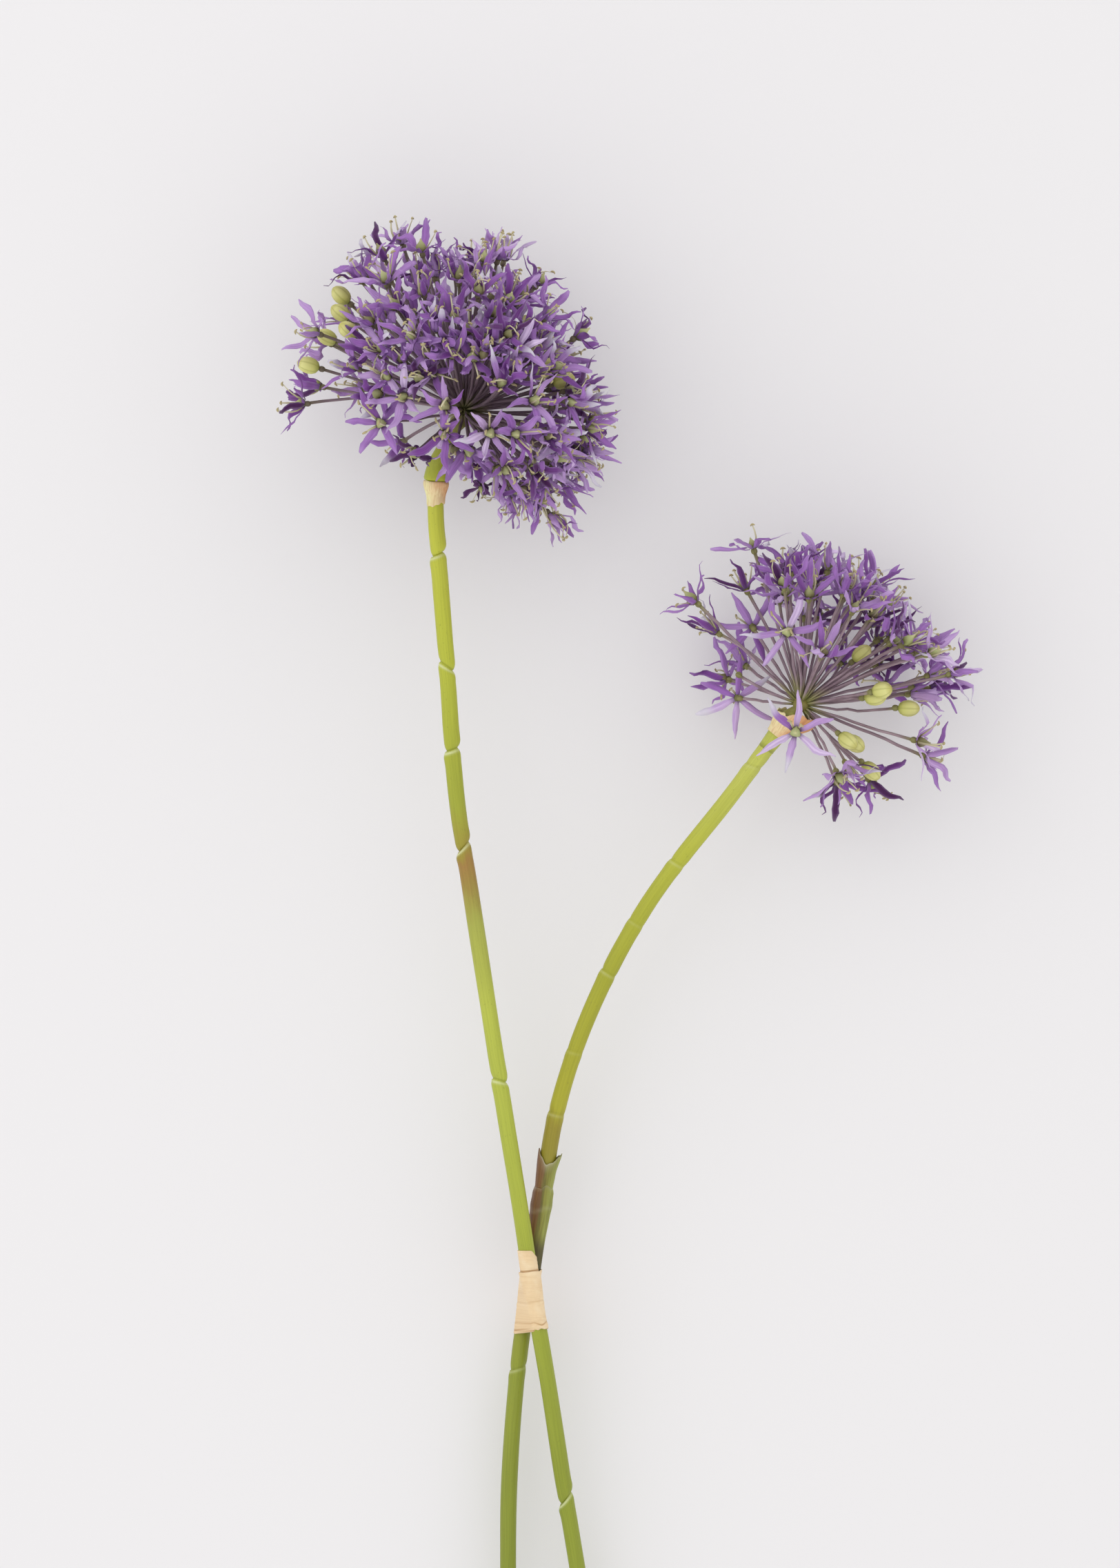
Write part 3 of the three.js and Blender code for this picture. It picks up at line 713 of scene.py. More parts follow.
def stem(name, node, route, joints, neck, material, seed):
    """A cut stem: ribbed lengths with slanted pinched joints between them, a neck and a round hub."""
    rows = {STEM_ROWS_APART * i for i in range(1, int((route.total - neck[0][1] - 1) / STEM_ROWS_APART))}
    joints = [(route.length_at(y), slant, pinch, facing) for y, slant, pinch, facing in joints]
    rows = {row for row in rows if all(abs(row - at) > JOINT_REACH + 1 for at, *_ in joints)} | {0.6, 2.0}
    for at, *_ in joints:
        rows |= {at + offset for offset in JOINT_ROWS}
    tie = route.length_at(0)
    end = STEM_RADIUS + STEM_END_SWELL
    profile = [(0, 0), (end * 0.5, 0.15), (end * 0.86, 0)]
    profile += [(STEM_RADIUS, row) for row in sorted(rows)]
    profile += [(radius, route.total - below) for radius, below in neck]
    for turn in range(-50, 90, 20):
        angle = math.radians(turn)
        profile.append((HUB_BALL * math.cos(angle), route.total + HUB_BALL * math.sin(angle)))
    profile.append((0, route.total + HUB_BALL))
    bm = turned(profile, STEM_SIDES)
    layer = keep_straight(bm)
    for vert in bm.verts:
        x, along, z = vert.co
        turn = math.atan2(z, x)
        loose = min(ease(14, 30, abs(along - tie)), 1 - ease(route.total - 40, route.total - 20, along))
        wide = 1 + loose * (0.018 * math.sin(3 * turn + along * 0.02) + 0.016 * math.sin(along * 0.11 + seed))
        wide += FOOT_SPREAD * (1 - ease(0, FOOT_LENGTH, along))
        shift = rise = 0.0
        for at, slant, pinch, facing in joints:
            past = along - at
            if abs(past) > JOINT_REACH + 0.01:
                continue
            near = 0.5 + 0.5 * math.cos(turn - math.radians(facing))
            wide *= joint_width(past, pinch * (0.65 + 0.35 * near))
            # The lengths on either side of a joint stand a little apart sideways.
            step = (1 - ease(0, JOINT_REACH, abs(past))) * ease(0, 0.2, abs(past))
            shift = 0.45 * pinch * math.copysign(1, past) * step
            rise = slant * x * (1 - ease(1.5, JOINT_REACH, abs(past)))
            # Painted light: the rim just below a joint gets a painted highlight, brightest on its upper left
            # towards the lamp, and the fold just above the joint gets painted shade.
            left = 0.5 + 0.5 * math.cos(turn - math.radians(150))
            rim = bulge(-0.75, 0.8, past) * (0.35 + 0.65 * left)
            vert[layer] = min(1, pinch * 2.4) * (rim - 0.9 * bulge(0.25, 0.4, past))
        vert.co = (x * wide + shift, along + rise, z * wide)
    route.bend(bm)
    return make_piece(name, bm, [material], [node])


# A joint is its place along the bunch, its slant up to the right, its pinch and the side it faces.
TALL_JOINTS = [
    (-150, 0.3, 0.3, 180), (-66.8, 0.75, 0.42, 170), (67.5, -0.35, 0.34, 20), (142, 0.62, 0.46, 150),
    (173, 0.22, 0.46, 10), (199.5, -0.6, 0.38, 0), (235, 0.28, 0.48, 0),
]
SHORT_JOINTS = [
    (-120, 0.2, 0.2, 180), (-25, 0.4, 0.16, 160), (57, 0.0, 0.1, 180), (77, 0.1, 0.05, 180),
    (102, -0.1, 0.12, 180), (118, 0.0, 0.06, 180), (137, 0.1, 0.12, 180), (168, 0.3, 0.09, 20),
]

TALL_NECK = [
    (2.6, 26), (2.75, 25), (3.0, 24.4), (4.0, 24.0), (4.15, 23.4), (3.95, 21.8), (3.6, 19.5), (3.1, 17),
    (2.5, 14), (1.95, 11), (1.75, 8.5), (2.1, 6), (2.8, 4.2),
]
SHORT_NECK = [(2.65, 18), (2.8, 15), (3.05, 12), (3.3, 9.5), (3.3, 7), (3.1, 5)]

TALL_ZONES = [
    (0.0, "#8f9a2a"), (0.30, "#909a2c"), (0.405, "#9ca632"), (0.47, "#aab33c"), (0.60, "#b8c048"),
    (0.66, "#aaad4a"), (0.685, "#a0883c"), (0.70, "#a37c3c"), (0.708, "#9f8f32"), (0.74, "#a2a832"),
    (0.83, "#b8bd38"), (0.93, "#c4c63e"), (0.955, "#aab032"), (0.98, "#a4a840"), (0.992, "#8a864a"),
]
SHORT_ZONES = [
    (0.0, "#7f8c22"), (0.30, "#88922a"), (0.42, "#8f982c"), (0.54, "#8f8a2c"), (0.616, "#988a28"),
    (0.63, "#aca82a"), (0.74, "#a6a72a"), (0.86, "#b6b93a"), (0.95, "#c6ca5c"), (0.982, "#b0b648"),
    (0.993, "#87803e"),
]

stem("tall_stem", "stem_tall", TALL_STEM, TALL_JOINTS, TALL_NECK,
     stem_material("dried_yellow_green_stem", TALL_ZONES, TALL_STEM.total), 11)
stem("short_stem", "stem_short", SHORT_STEM, SHORT_JOINTS, SHORT_NECK,
     stem_material("dried_olive_stem", SHORT_ZONES, SHORT_STEM.total), 12)

# ---------------------------------------------------------------- wrappings


def wall(bm, thickness):
    """Gives an open skin its thickness, outwards."""
    bmesh.ops.recalc_face_normals(bm, faces=bm.faces)
    bmesh.ops.solidify(bm, geom=bm.faces[:], thickness=-thickness)


def sleeve(name, node, route, rows, sides, thickness, shape, material):
    """A thin loose ring round a stem. `shape` moves each point, by its turn and its share of the length."""
    low, high = rows[0][1], rows[-1][1]
    bm = turned(rows, sides)
    layer = keep_straight(bm)
    for vert in bm.verts:
        share = (vert.co.y - low) / (high - low)
        vert.co, vert[layer] = shape(vert.co.copy(), math.atan2(vert.co.x, vert.co.z), share)
    route.bend(bm)
    wall(bm, thickness)
    return make_piece(name, bm, [material], [node])


def steps(count):
    """The shares from 0 to 1 that part a length into this many."""
    return [i / count for i in range(count + 1)]


UPPER_TURN_FROM = 4.0
UPPER_TURN_WALL = 0.16
LOWER_TURNS_TO = 6.2
LOWER_TURNS_WALL = 0.2


def tie():
    """Paper tape: a narrow turn round the upper stem alone, then the wide turns that hold both stems."""
    upper = turned(
        [(STEM_RADIUS + 0.18, mix(UPPER_TURN_FROM, TAPE_ABOVE, share)) for share in steps(30)], 48,
    )
    layer = keep_straight(upper)
    for vert in upper.verts:
        x, y, z = vert.co
        y -= 2.0 * ease(1.4, 2.9, x) * ease(8, 13, y)
        loose = 1 + 0.008 * math.sin(5 * y + 2 * x) + 0.03 * (1 - ease(4, 8, y))
        centre = TALL_STEM.at(TALL_STEM.length_at(y))
        # Painted shadow: a dark band on the narrow turn just above the top edge of the wide turns, where that
        # edge shades it.
        vert[layer] = -1.1 * bulge(6.5 + 0.12 * x, 0.5, y)
        vert.co = Vector((centre.x + x * loose, y, centre.z + z * loose))
    wall(upper, UPPER_TURN_WALL)
    lower = turned(
        [(STEM_RADIUS + 0.14, mix(-TAPE_ABOVE, LOWER_TURNS_TO, share)) for share in steps(80)], 72,
    )
    layer = keep_straight(lower)
    for vert in lower.verts:
        x, flat, z = vert.co
        turn = math.atan2(x, z)
        tall = TALL_STEM.at(TALL_STEM.length_at(flat))
        short = SHORT_STEM.at(SHORT_STEM.length_at(flat))
        span = tall - short
        centre = short.lerp(tall, ease(-0.9, 0.9, span.x * x + span.z * z))
        hem = 1 - ease(-12.4, -8.0, flat)
        top = ease(4.5, 6.2, flat)
        full = ease(-9, 5.5, flat)
        y = flat + (0.19 * (centre.x + x) + 0.22 * math.sin(3 * turn + 1) + 0.12 * math.sin(9 * turn)) * hem
        y += (0.12 * x + 0.1 * math.sin(4 * turn)) * top
        folds = math.sin(2.6 * (y - 0.25 * x) + 1.6 * math.sin(1.5 * turn + 0.4) + 0.8 * math.sin(4 * turn))
        lap = bulge(-4.2 + 0.5 * math.sin(turn), 0.8, y) - 0.6 * bulge(-3.4 + 0.5 * math.sin(turn), 0.7, y)
        relief = 0.32 * hem * folds * mix(0.1, 1, abs(math.cos(turn))) + 0.08 * lap + 0.5 * full
        wide = 1 + (relief + 0.02 * math.sin(3.1 * y + 3 * math.sin(turn))) / STEM_RADIUS
        # Painted shade in the hollows of the hem's folds and along the step under the lapped turn.
        vert[layer] = -1.0 * hem * ease(0.45, 1, -folds) - 0.25 * bulge(-3.4 + 0.5 * math.sin(turn), 0.6, y)
        vert.co = Vector((centre.x + x * wide, y, centre.z + z * wide))
    wall(lower, LOWER_TURNS_WALL)
    spare = bpy.data.meshes.new("upper_turn")
    upper.to_mesh(spare)
    upper.free()
    lower.from_mesh(spare)
    bpy.data.meshes.remove(spare)
    make_piece("paper_tie", lower, [tape_material()], ["tie_tape"])


tie()

HUSK = husk_material()
SHEATH = sheath_material()

COLLAR_TOP = TALL_STEM.total - COLLAR_BELOW_HUB


def collar_shape(place, turn, share):
    """Flares upwards to a curled lip; its lower edge is torn, higher on the right."""
    torn = 0.8 * ease(0.2, 2.6, place.x) + 0.35 * math.sin(3 * turn) + 0.18 * math.sin(9 * turn + 1)
    flare = 1 + 0.05 * math.sin(2 * turn + 0.5) * share + 0.03 * math.sin(5 * turn + 3 * share)
    lip = 0.16 * ease(0.9, 1, share) + 0.1 * math.sin(4 * turn) * ease(0.85, 1, share)
    return Vector((place.x * flare, place.y + torn * (1 - share) + lip, place.z * flare)), 0.0


sleeve(
    "tall_collar", "collar_tall", TALL_STEM,
    [(mix(CLEAR - 0.36, CLEAR, s) + 0.95 * ease(0.25, 0.95, s) - 0.2 * ease(0.9, 1, s),
      COLLAR_TOP - COLLAR_LENGTH * (1 - s)) for s in steps(14)],
    sides=48, thickness=0.25, shape=collar_shape, material=HUSK,
)

SPATHE_TOP = SHORT_STEM.total - SPATHE_BELOW_HUB


def spathe_shape(place, turn, share):
    """A torn cup round the neck: its left flank clings to it, its right one stands out like a tongue."""
    right = ease(-1.5, 3.5, place.x)
    ragged = 0.4 * math.sin(7 * turn) + 0.25 * math.sin(13 * turn + 2) + 0.7 * math.sin(2 * turn + 0.6)
    out = 1 + ease(0.1, 1, share) * (0.16 + 0.75 * right) + 0.05 * math.sin(5 * turn + 1) * share
    rise = ragged * ease(0.3, 1, share) + 3.2 * right * share
    return Vector((place.x * out, place.y + rise, place.z * mix(1, out, 0.5))), 0.0


sleeve(
    "short_spathe", "spathe_short", SHORT_STEM,
    [(CLEAR + 0.3 + 0.7 * ease(0, 0.6, s),
      SPATHE_TOP + 1.0 - (SPATHE_LENGTH - 1.5) * (1 - s)) for s in steps(16)],
    sides=56, thickness=0.22, shape=spathe_shape, material=HUSK,
)

TAPE_TOP = SHORT_STEM.length_at(TAPE_ABOVE)
LEAVING = SHORT_STEM.frame(round(TAPE_TOP, 3))[2]
SHEATH_START = TAPE_TOP + GAP + math.hypot(LEAVING.x, LEAVING.z) / LEAVING.y * (CLEAR + SHEATH_WALL)
SHEATH_JOIN = SHEATH_START + LOWER_SHEATH_LENGTH


def lower_sheath_shape(place, turn, share):
    """Clings to the stem at the tape and swells to rounded, uneven shoulders; dark at the foot."""
    edge = 0.7 * math.sin(turn * 2 + 1) + 0.3 * math.sin(5 * turn)
    ripple = 1 + 0.02 * math.sin(6 * turn) + 0.035 * math.sin(2 * turn + 6 * share) * share
    mark = 0.7 * ease(0.95, 1, share) - 1.0 * (1 - ease(0.26, 0.5, share))
    mark += 0.28 * bulge(0.74 + 0.03 * math.sin(2 * turn), 0.04, share)
    return Vector((place.x * ripple, place.y + edge * ease(0.7, 1, share), place.z * ripple)), mark


sleeve(
    "lower_sheath", "sheath_lower", SHORT_STEM,
    [(CLEAR - 0.3 + 0.32 * ease(0.3, 0.75, s) + 0.16 * bulge(0.78, 0.1, s) - 0.55 * ease(0.92, 1, s) ** 2,
      SHEATH_JOIN - (LOWER_SHEATH_LENGTH + 9) * (1 - s)) for s in steps(30)],
    sides=40, thickness=0.25, shape=lower_sheath_shape, material=SHEATH,
)


def upper_sheath_shape(place, turn, share):
    """Two pointed torn lobes stand up left and right of an open notch."""
    lobe = abs(math.sin(turn)) ** 1.5
    lift = (4.4 if place.x < 0 else 3.6) * lobe * ease(0.25, 1, share) + 0.25 * math.sin(9 * turn) * share
    lean = 1.3 * lobe * ease(0.5, 1, share) * (1 if place.x > 0 else -0.35)
    wide = 1 - 0.08 * ease(0.6, 1, share) * lobe
    mark = 0.9 * ease(0.9, 1, share) * (0.3 + 0.7 * (1 - lobe)) + 0.45 * (1 - lobe) * ease(0.55, 1, share)
    return Vector((place.x * wide + lean, place.y + lift, place.z * wide)), mark


sleeve(
    "upper_sheath", "sheath_upper", SHORT_STEM,
    [(CLEAR - 0.34 + 0.34 * ease(0, 0.7, s),
      SHEATH_JOIN + GAP - 1.0 + (UPPER_SHEATH_LENGTH + 1) * s) for s in steps(14)],
    sides=40, thickness=0.22, shape=upper_sheath_shape, material=SHEATH,
)

# ---------------------------------------------------------------- florets and buds

PETAL, STALK, OVARY, STAMEN = range(4)
FLORET_MATERIALS = [tepal_material(), pedicel_material(), ovary_material(), stamen_material()]
BUD_MATERIALS = [bud_material(), FLORET_MATERIALS[STALK]]
PEDICEL_RADIUS = 0.5
PEDICEL_START = 1.8  # from the middle of the hub
TEPAL_THICKNESS = 0.16
TEPAL_LIFT = 0.4  # the least height of a tepal over the surface
STAMEN_LIFT = 4
WIDE_OPEN = 76  # degrees from a flower's axis to its tepals
# Each head, and each kind of floret in it, counts its random seeds from a start of its own.
HEAD_SEEDS, FRONT_SEEDS, BUD_SEEDS, INNER_SEEDS = 1000, 500, 700, 900
TEPAL_ALONG = 8
ROD_ALONG = 9


def stored(name, bm):
    """Keeps a small shape to be copied into every floret."""
    mesh = bpy.data.meshes.new(name)
    bm.to_mesh(mesh)
    bm.free()
    return mesh


def strap():
    """A flat strip, two faces wide, from y = 0 to y = 1."""
    bm = bmesh.new()
    bmesh.ops.create_grid(bm, x_segments=2, y_segments=TEPAL_ALONG, size=1)
    bmesh.ops.translate(bm, verts=bm.verts, vec=(0, 1, 0))
    bmesh.ops.scale(bm, verts=bm.verts, vec=(1, 0.5, 1))
    return bm


STRAP = stored("strap", strap())
ROD = stored("rod", turned([(0, 0), *[(1, s) for s in steps(ROD_ALONG)], (0, 1)], 6))
THREAD = stored("thread", turned([(0, 0), *[(1, s) for s in steps(4)], (0, 1)], 4))
BEAD = stored("bead", turned(
    [(0, 0), (0.6, 0.08), (0.92, 0.28), (1, 0.5), (0.92, 0.72), (0.6, 0.92), (0, 1)], 6,
))
SEED_CASE = stored("seed_case", turned(
    [(0, 0), (0.55, 0.02), (0.9, 0.18), (1, 0.36), (0.84, 0.56), (0.5, 0.72), (0.24, 0.86), (0.12, 1),
     (0, 1)], 9,
))
BUD = stored("bud", turned(
    [(0, 0), (0.3, 0.01), (0.66, 0.09), (0.9, 0.25), (1, 0.45), (0.95, 0.64), (0.78, 0.8), (0.46, 0.93),
     (0.2, 0.985), (0, 1)], 18,
))


class Growth:
    """A floret or bud as it is put together, in millimetres, from copies of the stored shapes."""

    def __init__(self):
        self.bm = bmesh.new()
        self.grow = self.bm.verts.layers.float_vector.new("grow")
        self.bleach = self.bm.verts.layers.float.new("bleach")

    def part(self, shape, material, place, mark):
        """Adds a copy of a shape. `place` moves a point, and `mark` gives what the materials read there."""
        first_vert, first_face = len(self.bm.verts), len(self.bm.faces)
        self.bm.from_mesh(shape)
        self.bm.verts.ensure_lookup_table()
        self.bm.faces.ensure_lookup_table()
        for vert in self.bm.verts[first_vert:]:
            vert[self.grow] = mark(vert.co)
            vert.co = place(vert.co)
        faces = self.bm.faces[first_face:]
        for face in faces:
            face.material_index = material
        return faces


def tepal_path(draw, age, opening, spec, withered):
    """How one tepal leans out, sways and twists from its claw to its tip, in radians, and its size."""
    wide = opening == WIDE_OPEN
    return {
        "lean": math.radians(opening + draw.uniform(-12, 12) + 16 * age * (not wide)),
        "open": math.radians(draw.uniform(-6, 16) if wide else draw.uniform(-14, 44)),
        "curl": math.radians(draw.gauss(0, 70 if withered else 14 if wide else spec["tepal_curl"])),
        "sway": math.radians(draw.gauss(0, 18)),
        "twist": math.radians(draw.gauss(0, 14 if wide else 38)),
        "length": PETAL_LENGTH * (0.8 if withered else 1) * draw.uniform(*spec["tepal_length"]),
        "half": draw.uniform(*spec["tepal_half"]),
        "blunt": draw.random() < 0.4,
        "edges": [[draw.uniform(0.82, 1.1) for _ in steps(TEPAL_ALONG)] for _ in "lr"],
        "dents": [draw.gauss(0, 0.15) for _ in steps(TEPAL_ALONG)],
    }


def tepal_stations(path, turn):
    """The middle line of a tepal: at each station its place, its side and its inner face."""
    stations = []
    place = Vector((math.cos(turn), math.sin(turn), 0)) * 1.1
    for share in steps(TEPAL_ALONG):
        lean = path["lean"] + path["open"] * share + path["curl"] * math.sin(2.6 * math.pi * share ** 1.2)
        bearing = turn + path["sway"] * math.sin(2.2 * math.pi * share) * share * 1.6
        out = Vector((math.cos(bearing), math.sin(bearing), 0))
        ahead = out * math.sin(lean) + UP * math.cos(lean)
        inner = UP * math.sin(lean) - out * math.cos(lean)
        side = ahead.cross(inner)
        twist = path["twist"] * share
        stations.append((
            place.copy(), side * math.cos(twist) + inner * math.sin(twist),
            inner * math.cos(twist) - side * math.sin(twist),
        ))
        place += ahead * (path["length"] / TEPAL_ALONG)
    return stations


def tepal_width(share, blunt):
    """A tepal's width, as a share of its widest, from the claw to the tip."""
    shoulder = mix(0.6, 1, ease(0, 0.28, share))
    tip = 1 - ease(0.72, 1.1, share) * 0.8 if blunt else 1 - ease(0.5, 1.1, share) * 0.9
    return shoulder * tip


def add_tepal(growth, place, turn, path, tone):
    """One tepal as an open strip, a shallow channel along its middle line."""
    stations = tepal_stations(path, turn)

    def on_tepal(co):
        row = round(co.y * TEPAL_ALONG)
        spot, side, inner = stations[row]
        half = path["half"] * tepal_width(co.y, path["blunt"]) * path["edges"][co.x > 0][row]
        channel = 0.34 * half * (abs(co.x) - 0.5) + path["dents"][row]
        return place(spot + side * (co.x * half) + inner * channel)

    return growth.part(STRAP, PETAL, on_tepal, lambda co: (co.x, co.y, tone))


def add_flower(growth, place, draw, age, tone, opening, spec):
    """Six tepals round an ovary, with its stamens."""
    straps = []
    roll = draw.uniform(0, 2 * math.pi)
    withered = tone == 0
    for i in range(6):
        path = tepal_path(draw, age, opening, spec, withered)
        turn = roll + math.radians(60) * i + draw.gauss(0, 0.1)
        first = len(growth.bm.verts)
        own_tone = 0 if withered else min(1, max(0, tone + draw.gauss(0, 0.17)))
        faded = draw.random() < 0.1 and not withered
        straps += add_tepal(growth, place, turn, path, own_tone)
        for vert in growth.bm.verts[first:]:
            share = vert[growth.grow].y
            vert[growth.bleach] = 0.85 * ease(0.45, 0.75, share) if faded else 0.12 * ease(0.75, 1, share)
    for vert in {vert for face in straps for vert in face.verts}:
        vert.co.z = max(vert.co.z, FLOOR + TEPAL_LIFT)
    bmesh.ops.solidify(growth.bm, geom=straps, thickness=TEPAL_THICKNESS)
    size = draw.uniform(1.35, 1.8)
    height = size * draw.uniform(2.3, 3.3)
    health = draw.random()

    def on_ovary(co):
        turn = math.atan2(co.z, co.x)
        ribs = size * (1 + 0.34 * math.cos(3 * (turn - roll)) * (1 - co.y))
        return place(Vector((co.x * ribs, co.z * ribs, co.y * height - 0.2)))

    growth.part(SEED_CASE, OVARY, on_ovary, lambda co: (co.x, co.y, health))
    for i in range(draw.choice((1, 2, 3, 3, 4))):
        turn = roll + 0.5 + math.radians(60) * draw.randrange(6) + draw.gauss(0, 0.15)
        lean = math.radians(draw.uniform(14, 50))
        curl = math.radians(draw.gauss(-18, 32))
        length = draw.uniform(4.5, 8.5)
        thick = draw.uniform(0.32, 0.44)
        spin = draw.uniform(0, math.pi)
        if place(Vector((0, 0, length))).z > FLOOR + STAMEN_LIFT:
            add_stamen(growth, place, turn, lean, curl, length, thick, spin)


def add_stamen(growth, place, turn, lean, curl, length, thick, spin):
    """A curved thread that ends in an anther set across it."""
    out = Vector((math.cos(turn), math.sin(turn), 0))
    side = UP.cross(out)

    def spot(share):
        bend = lean + curl * share
        return out * (1.5 + length * share * math.sin(bend)) + UP * (0.8 + length * share * math.cos(bend))

    def on_thread(co):
        narrow = thick * mix(1, 0.6, co.y)
        return place(spot(co.y) + out * (co.x * narrow) + side * (co.z * narrow))

    across = side * math.cos(spin) + out * math.sin(spin)
    lifted = UP.cross(across)

    def on_anther(co):
        return place(
            spot(1) + across * ((co.y - 0.5) * 1.9) + lifted * (co.x * 0.36)
            + UP * (co.z * 0.36 + 0.35 - 1.8 * (co.y - 0.5) ** 2)
        )

    growth.part(THREAD, STAMEN, on_thread, lambda co: (co.x, co.y * 0.8, 0))
    growth.part(BEAD, STAMEN, on_anther, lambda co: (co.x, 1, 0))


def add_pedicel(growth, hub, aim, reach, draw, material, shade):
    """A slender stalk from the hub, slightly bowed and wrinkled, with a knuckle under the flower."""
    sideways = aim.orthogonal().normalized()
    sideways.rotate(Matrix.Rotation(draw.uniform(0, 2 * math.pi), 3, aim))
    other = aim.cross(sideways)
    bow = draw.gauss(0, 0.03) * reach
    sag = 0.035 * reach
    tone = shade + 0.18 * draw.random()
    wrinkles = [draw.gauss(0, 0.16) for _ in steps(ROD_ALONG)]
    girth = PEDICEL_RADIUS * draw.uniform(0.85, 1.1)

    def on_stalk(co):
        along = mix(PEDICEL_START, reach, co.y)
        thick = girth * mix(0.8, 1, ease(0, 0.5, co.y)) * mix(1, 1.15, ease(0.8, 1, co.y))
        arch = math.sin(math.pi * co.y)
        wrinkle = wrinkles[round(co.y * ROD_ALONG)] * ease(0, 0.3, arch)
        droop = UP * (sag * arch * math.hypot(aim.x, aim.y))
        middle = aim * along + sideways * (bow * arch) + other * wrinkle - droop
        return hub + middle + sideways * (co.x * thick) + other * (co.z * thick)

    def on_knuckle(co):
        return hub + aim * (reach - 2.0 + 2.3 * co.y) + (sideways * co.x + other * co.z) * 1.05

    growth.part(ROD, material, on_stalk, lambda co: (co.x, co.y, tone))
    growth.part(BEAD, material, on_knuckle, lambda co: (co.x, 0.97, tone))


def rise(hub, aim, reach):
    """How far out the flower sits, as in the CAD model: the surface pushes the lowest ones back."""
    radius = PETAL_LENGTH * math.sin(math.radians(PETAL_OPENING))
    height = PETAL_LENGTH * math.cos(math.radians(PETAL_OPENING))
    level = math.sqrt(max(0, 1 - aim.z ** 2))
    return min(reach, (hub.z - FLOOR - radius * level) / max(1e-6, -aim.z) - height)


def floret(spec, name, hub, aim, reach, number, nodes=(), tone=None, flat=0):
    """A flower on its pedicel. A tone of 0 makes it a withered one, small, dark and curled."""
    draw = random.Random(HEAD_SEEDS * spec["seed"] + number)
    withered = tone == 0
    age = 1 if withered else draw.random() ** 2
    tone = draw.gauss(0.48, 0.24) if tone is None else tone
    opening = WIDE_OPEN if flat else draw.choice(spec["openings"])
    reach = rise(hub, aim, reach)
    growth = Growth()
    tilt = aim.orthogonal().normalized()
    tilt.rotate(Matrix.Rotation(draw.uniform(0, 2 * math.pi), 3, aim))
    facing = (aim + tilt * abs(draw.gauss(0, 0.14))).normalized()
    facing = facing.lerp(UP * flat, 0.8 * abs(flat)).normalized()
    turn = UP.rotation_difference(facing).to_matrix()
    base = hub + aim * reach
    add_flower(growth, lambda co: base + turn @ co, draw, age, tone, opening, spec)
    add_pedicel(growth, hub, aim, reach, draw, STALK, spec["shade"])
    return make_piece(f"{spec['name']}_{name}", growth.bm, FLORET_MATERIALS, nodes)


def bud(name, hub, aim, reach, seed, shade, nodes=()):
    """A closed bud on its pedicel, with six seams."""
    draw = random.Random(seed)
    growth = Growth()
    turn = UP.rotation_difference(aim).to_matrix()
    width, length = draw.uniform(2.55, 2.9), draw.uniform(6.6, 7.4)

    def on_bud(co):
        seam = 1 - 0.07 * abs(math.cos(3 * math.atan2(co.z, co.x))) ** 6
        wide = width * seam
        return hub + aim * reach + turn @ Vector((co.x * wide, co.z * wide, co.y * length))

    def mark(co):
        return abs(math.cos(3 * math.atan2(co.z, co.x))) ** 6, co.y, 0.5

    growth.part(BUD, 0, on_bud, mark)
    add_pedicel(growth, hub, aim, reach, draw, 1, shade)
    return make_piece(name, growth.bm, BUD_MATERIALS, nodes)


# ---------------------------------------------------------------- heads


def direction(bearing, elevation):
    """The unit vector at a bearing and an elevation in degrees."""
    b, e = math.radians(bearing), math.radians(elevation)
    return Vector((math.cos(b) * math.cos(e), math.sin(b) * math.cos(e), math.sin(e)))


def level_reach(table, bearing):
    """A head's level reach along a bearing, eased from one listed bearing to the next."""
    ring = [*table, (table[0][0] + 360, table[0][1])]
    for (start, near), (end, far) in zip(ring, ring[1:]):
        if end > bearing:
            return mix(near, far, ease(start, end, bearing))


def places_of(head, crown, count, series):
    """Places spread evenly over a head: each one's number, direction, bearing, elevation and outer reach."""
    to_crown = UP.rotation_difference(crown)
    for i in range(count):
        polar = math.acos(1 - 2 * (i + 0.5) / count) + math.radians(3.5) * jitter(series, i)
        loose = math.radians(5) / max(0.3, math.sin(polar))
        turn = i * GOLDEN_TURN + loose * jitter(series + 10, i)
        aim = Vector((math.sin(polar) * math.cos(turn), math.sin(polar) * math.sin(turn), math.cos(polar)))
        aim = to_crown @ aim
        if math.degrees(polar) > head["spread"]:
            continue
        elevation = math.degrees(math.asin(aim.z))
        bearing = math.degrees(math.atan2(aim.y, aim.x)) % 360
        level = math.hypot(aim.x, aim.y) / level_reach(head["reach"], bearing)
        upright = aim.z / head["up" if elevation > 0 else "down"]
        reach = (1 + 0.07 * jitter(series + 20, i)) / math.hypot(level, upright)
        yield i, aim, bearing, elevation, reach


SPARE_REACH = 0.96  # of florets that have no solid of their own in the CAD model
INNER_REACH = 0.84
SPARE_ROOM = 8  # the least angle to the florets and buds around, in degrees
INNER_ROOM = 6.5


def crowded(aim, grown, room):
    """Whether a direction is within `room` degrees of one that is taken."""
    return any(aim.angle(other) < math.radians(room) for other in grown)


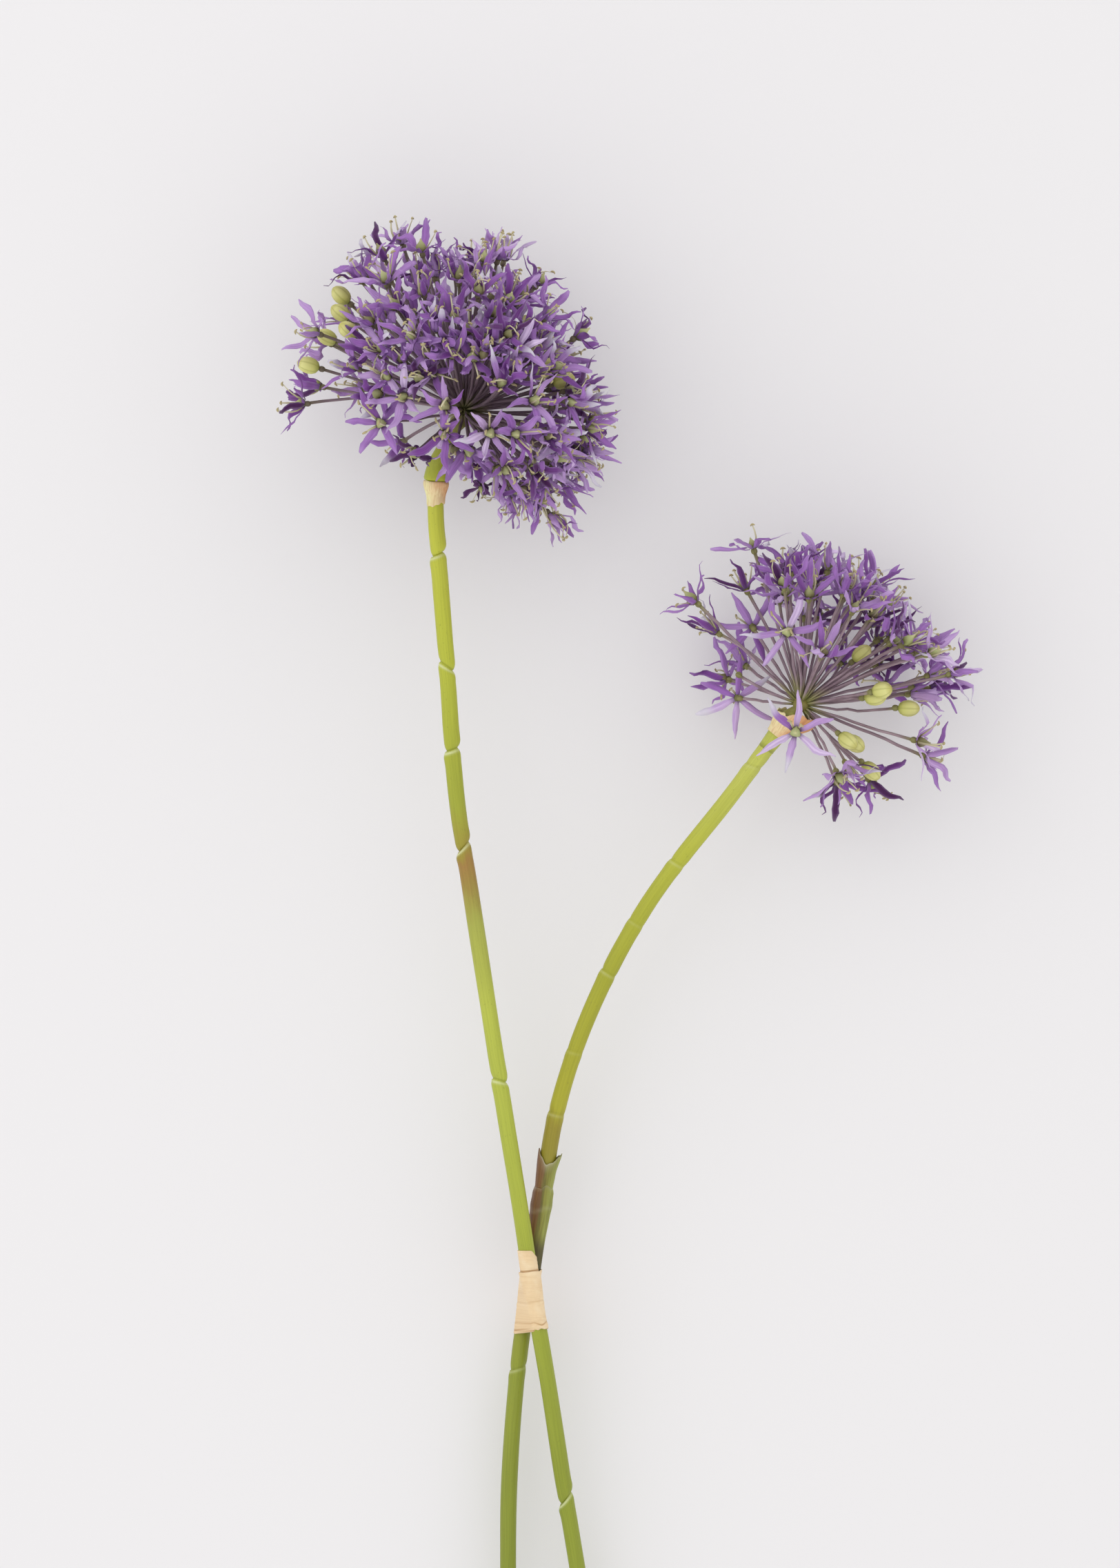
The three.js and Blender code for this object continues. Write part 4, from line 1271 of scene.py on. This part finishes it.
def head(spec, route, points):
    """A whole head: its CAD florets, front florets and buds, then others wherever there is room."""
    hub = route.at(route.total)
    (from_x, from_y), (hub_x, hub_y) = points[-2:]
    crown = Vector((hub_x - from_x, hub_y - from_y, 0)).normalized()
    kind, seeds, shade = spec["name"], HEAD_SEEDS * spec["seed"], spec["shade"]
    grown, spare = [], []
    for i, aim, bearing, elevation, reach in places_of(spec, crown, spec["count"], spec["seed"]):
        node = f"floret_{kind}_{i:03d}"
        if spec["missing"](bearing, elevation, i):
            continue
        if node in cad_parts:
            tone = 0 if i in spec["withered"] else None
            floret(spec, f"floret_{i:03d}", hub, aim, reach, i, [node], tone)
            grown.append(aim)
        elif i not in spec["fallen"]:
            spare.append((i, aim, reach * SPARE_REACH))
    for i, (x, y, z, tone, flat) in enumerate(spec["front"], start=1):
        place = Vector((x, y, z))
        grown.append(place.normalized())
        name, number = f"front_floret_{i}", FRONT_SEEDS + i
        floret(spec, name, hub, grown[-1], place.length, number, tone=tone, flat=flat)
    for i, (bearing, elevation, reach) in enumerate(spec["buds"] + spec["extra_buds"], start=1):
        node = f"bud_{kind}_{i}"
        nodes = [node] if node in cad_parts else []
        grown.append(direction(bearing, elevation))
        bud(f"{kind}_bud_{i}", hub, grown[-1], reach, seeds + BUD_SEEDS + i, shade, nodes)
    for i, aim, reach in spare:
        if not crowded(aim, grown, SPARE_ROOM):
            floret(spec, f"floret_{i:03d}", hub, aim, reach, i)
            grown.append(aim)
    for i, aim, bearing, elevation, reach in places_of(spec, crown, spec["inner_count"], spec["seed"] + 40):
        if spec["inside"](bearing, elevation) and not crowded(aim, grown, INNER_ROOM):
            shorter = INNER_REACH + 0.08 * jitter(spec["seed"] + 50, i)
            floret(spec, f"inner_floret_{i:03d}", hub, aim, reach * shorter, INNER_SEEDS + i)
            grown.append(aim)
    for i, place in enumerate(spec["bare"], start=1):
        growth = Growth()
        end = Vector(place)
        add_pedicel(growth, hub, end.normalized(), end.length, random.Random(i), 0, 1.0)
        make_piece(f"{kind}_bare_pedicel_{i}", growth.bm, [FLORET_MATERIALS[STALK]])


head(TALL, TALL_STEM, TALL_ROUTE)
head(SHORT, SHORT_STEM, SHORT_ROUTE)

# ---------------------------------------------------------------- floor, light and camera

VIEW_CENTRE = TO_ROW @ Vector((9.7, 162, 0))
VIEW_HEIGHT = 500.1 * MM  # what the camera sees from top to bottom, at the height of VIEW_PLANE
VIEW_PLANE = 30 * MM
CAMERA_DISTANCE = 3.0
SENSOR = 36.0
FLOOR_HALF = 6  # metres
FLOOR_DROP = 0.5 * MM
ROOM_LIGHT = 0.96
LAMP_SIZE = 2.0
LAMP_POWER = 5


def studio():
    """A pale floor in even room light, with one large soft lamp from the upper left."""
    floor_mesh = bpy.data.meshes.new("floor")
    bm = bmesh.new()
    bmesh.ops.create_grid(bm, x_segments=1, y_segments=1, size=FLOOR_HALF)
    bm.to_mesh(floor_mesh)
    bm.free()
    floor = bpy.data.objects.new("floor", floor_mesh)
    bpy.context.scene.collection.objects.link(floor)
    floor.location.z = -FLOOR_DROP
    floor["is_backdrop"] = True
    paper, _, main = new_material("matt_pale_backdrop", Roughness=0.9)
    main.inputs["Base Color"].default_value = paint("#edebec")
    floor_mesh.materials.append(paper)

    world = bpy.data.worlds.new("soft_room")
    world.use_nodes = True
    sky = world.node_tree.nodes["Background"]
    sky.inputs["Color"].default_value = paint("#ffffff")
    sky.inputs["Strength"].default_value = ROOM_LIGHT
    bpy.context.scene.world = world

    lamp = bpy.data.lights.new("soft_box", "AREA")
    lamp.shape = "RECTANGLE"
    lamp.size, lamp.size_y = LAMP_SIZE, LAMP_SIZE
    lamp.energy = LAMP_POWER
    box = bpy.data.objects.new("soft_box", lamp)
    box.location = VIEW_CENTRE + Vector((-1.1, 0.7, 1.5))
    box.rotation_euler = (VIEW_CENTRE - box.location).to_track_quat("-Z", "Y").to_euler()
    bpy.context.scene.collection.objects.link(box)


def camera():
    """Looks straight down on the bunch. The lower edge of the view cuts off the stems."""
    lens = bpy.data.cameras.new("camera")
    lens.sensor_fit = "VERTICAL"
    lens.sensor_height = SENSOR
    lens.lens = SENSOR * CAMERA_DISTANCE / VIEW_HEIGHT
    lens.clip_end = 20
    view = bpy.data.objects.new("camera", lens)
    view.location = (VIEW_CENTRE.x, VIEW_CENTRE.y, VIEW_PLANE + CAMERA_DISTANCE)
    bpy.context.scene.collection.objects.link(view)
    bpy.context.scene.camera = view


studio()
camera()
bpy.context.scene.view_settings.view_transform = "Standard"

boxes = {"cad": CAD_BOX, "visual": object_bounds()}
{name: [list(low), list(high)] for name, (low, high) in boxes.items()}
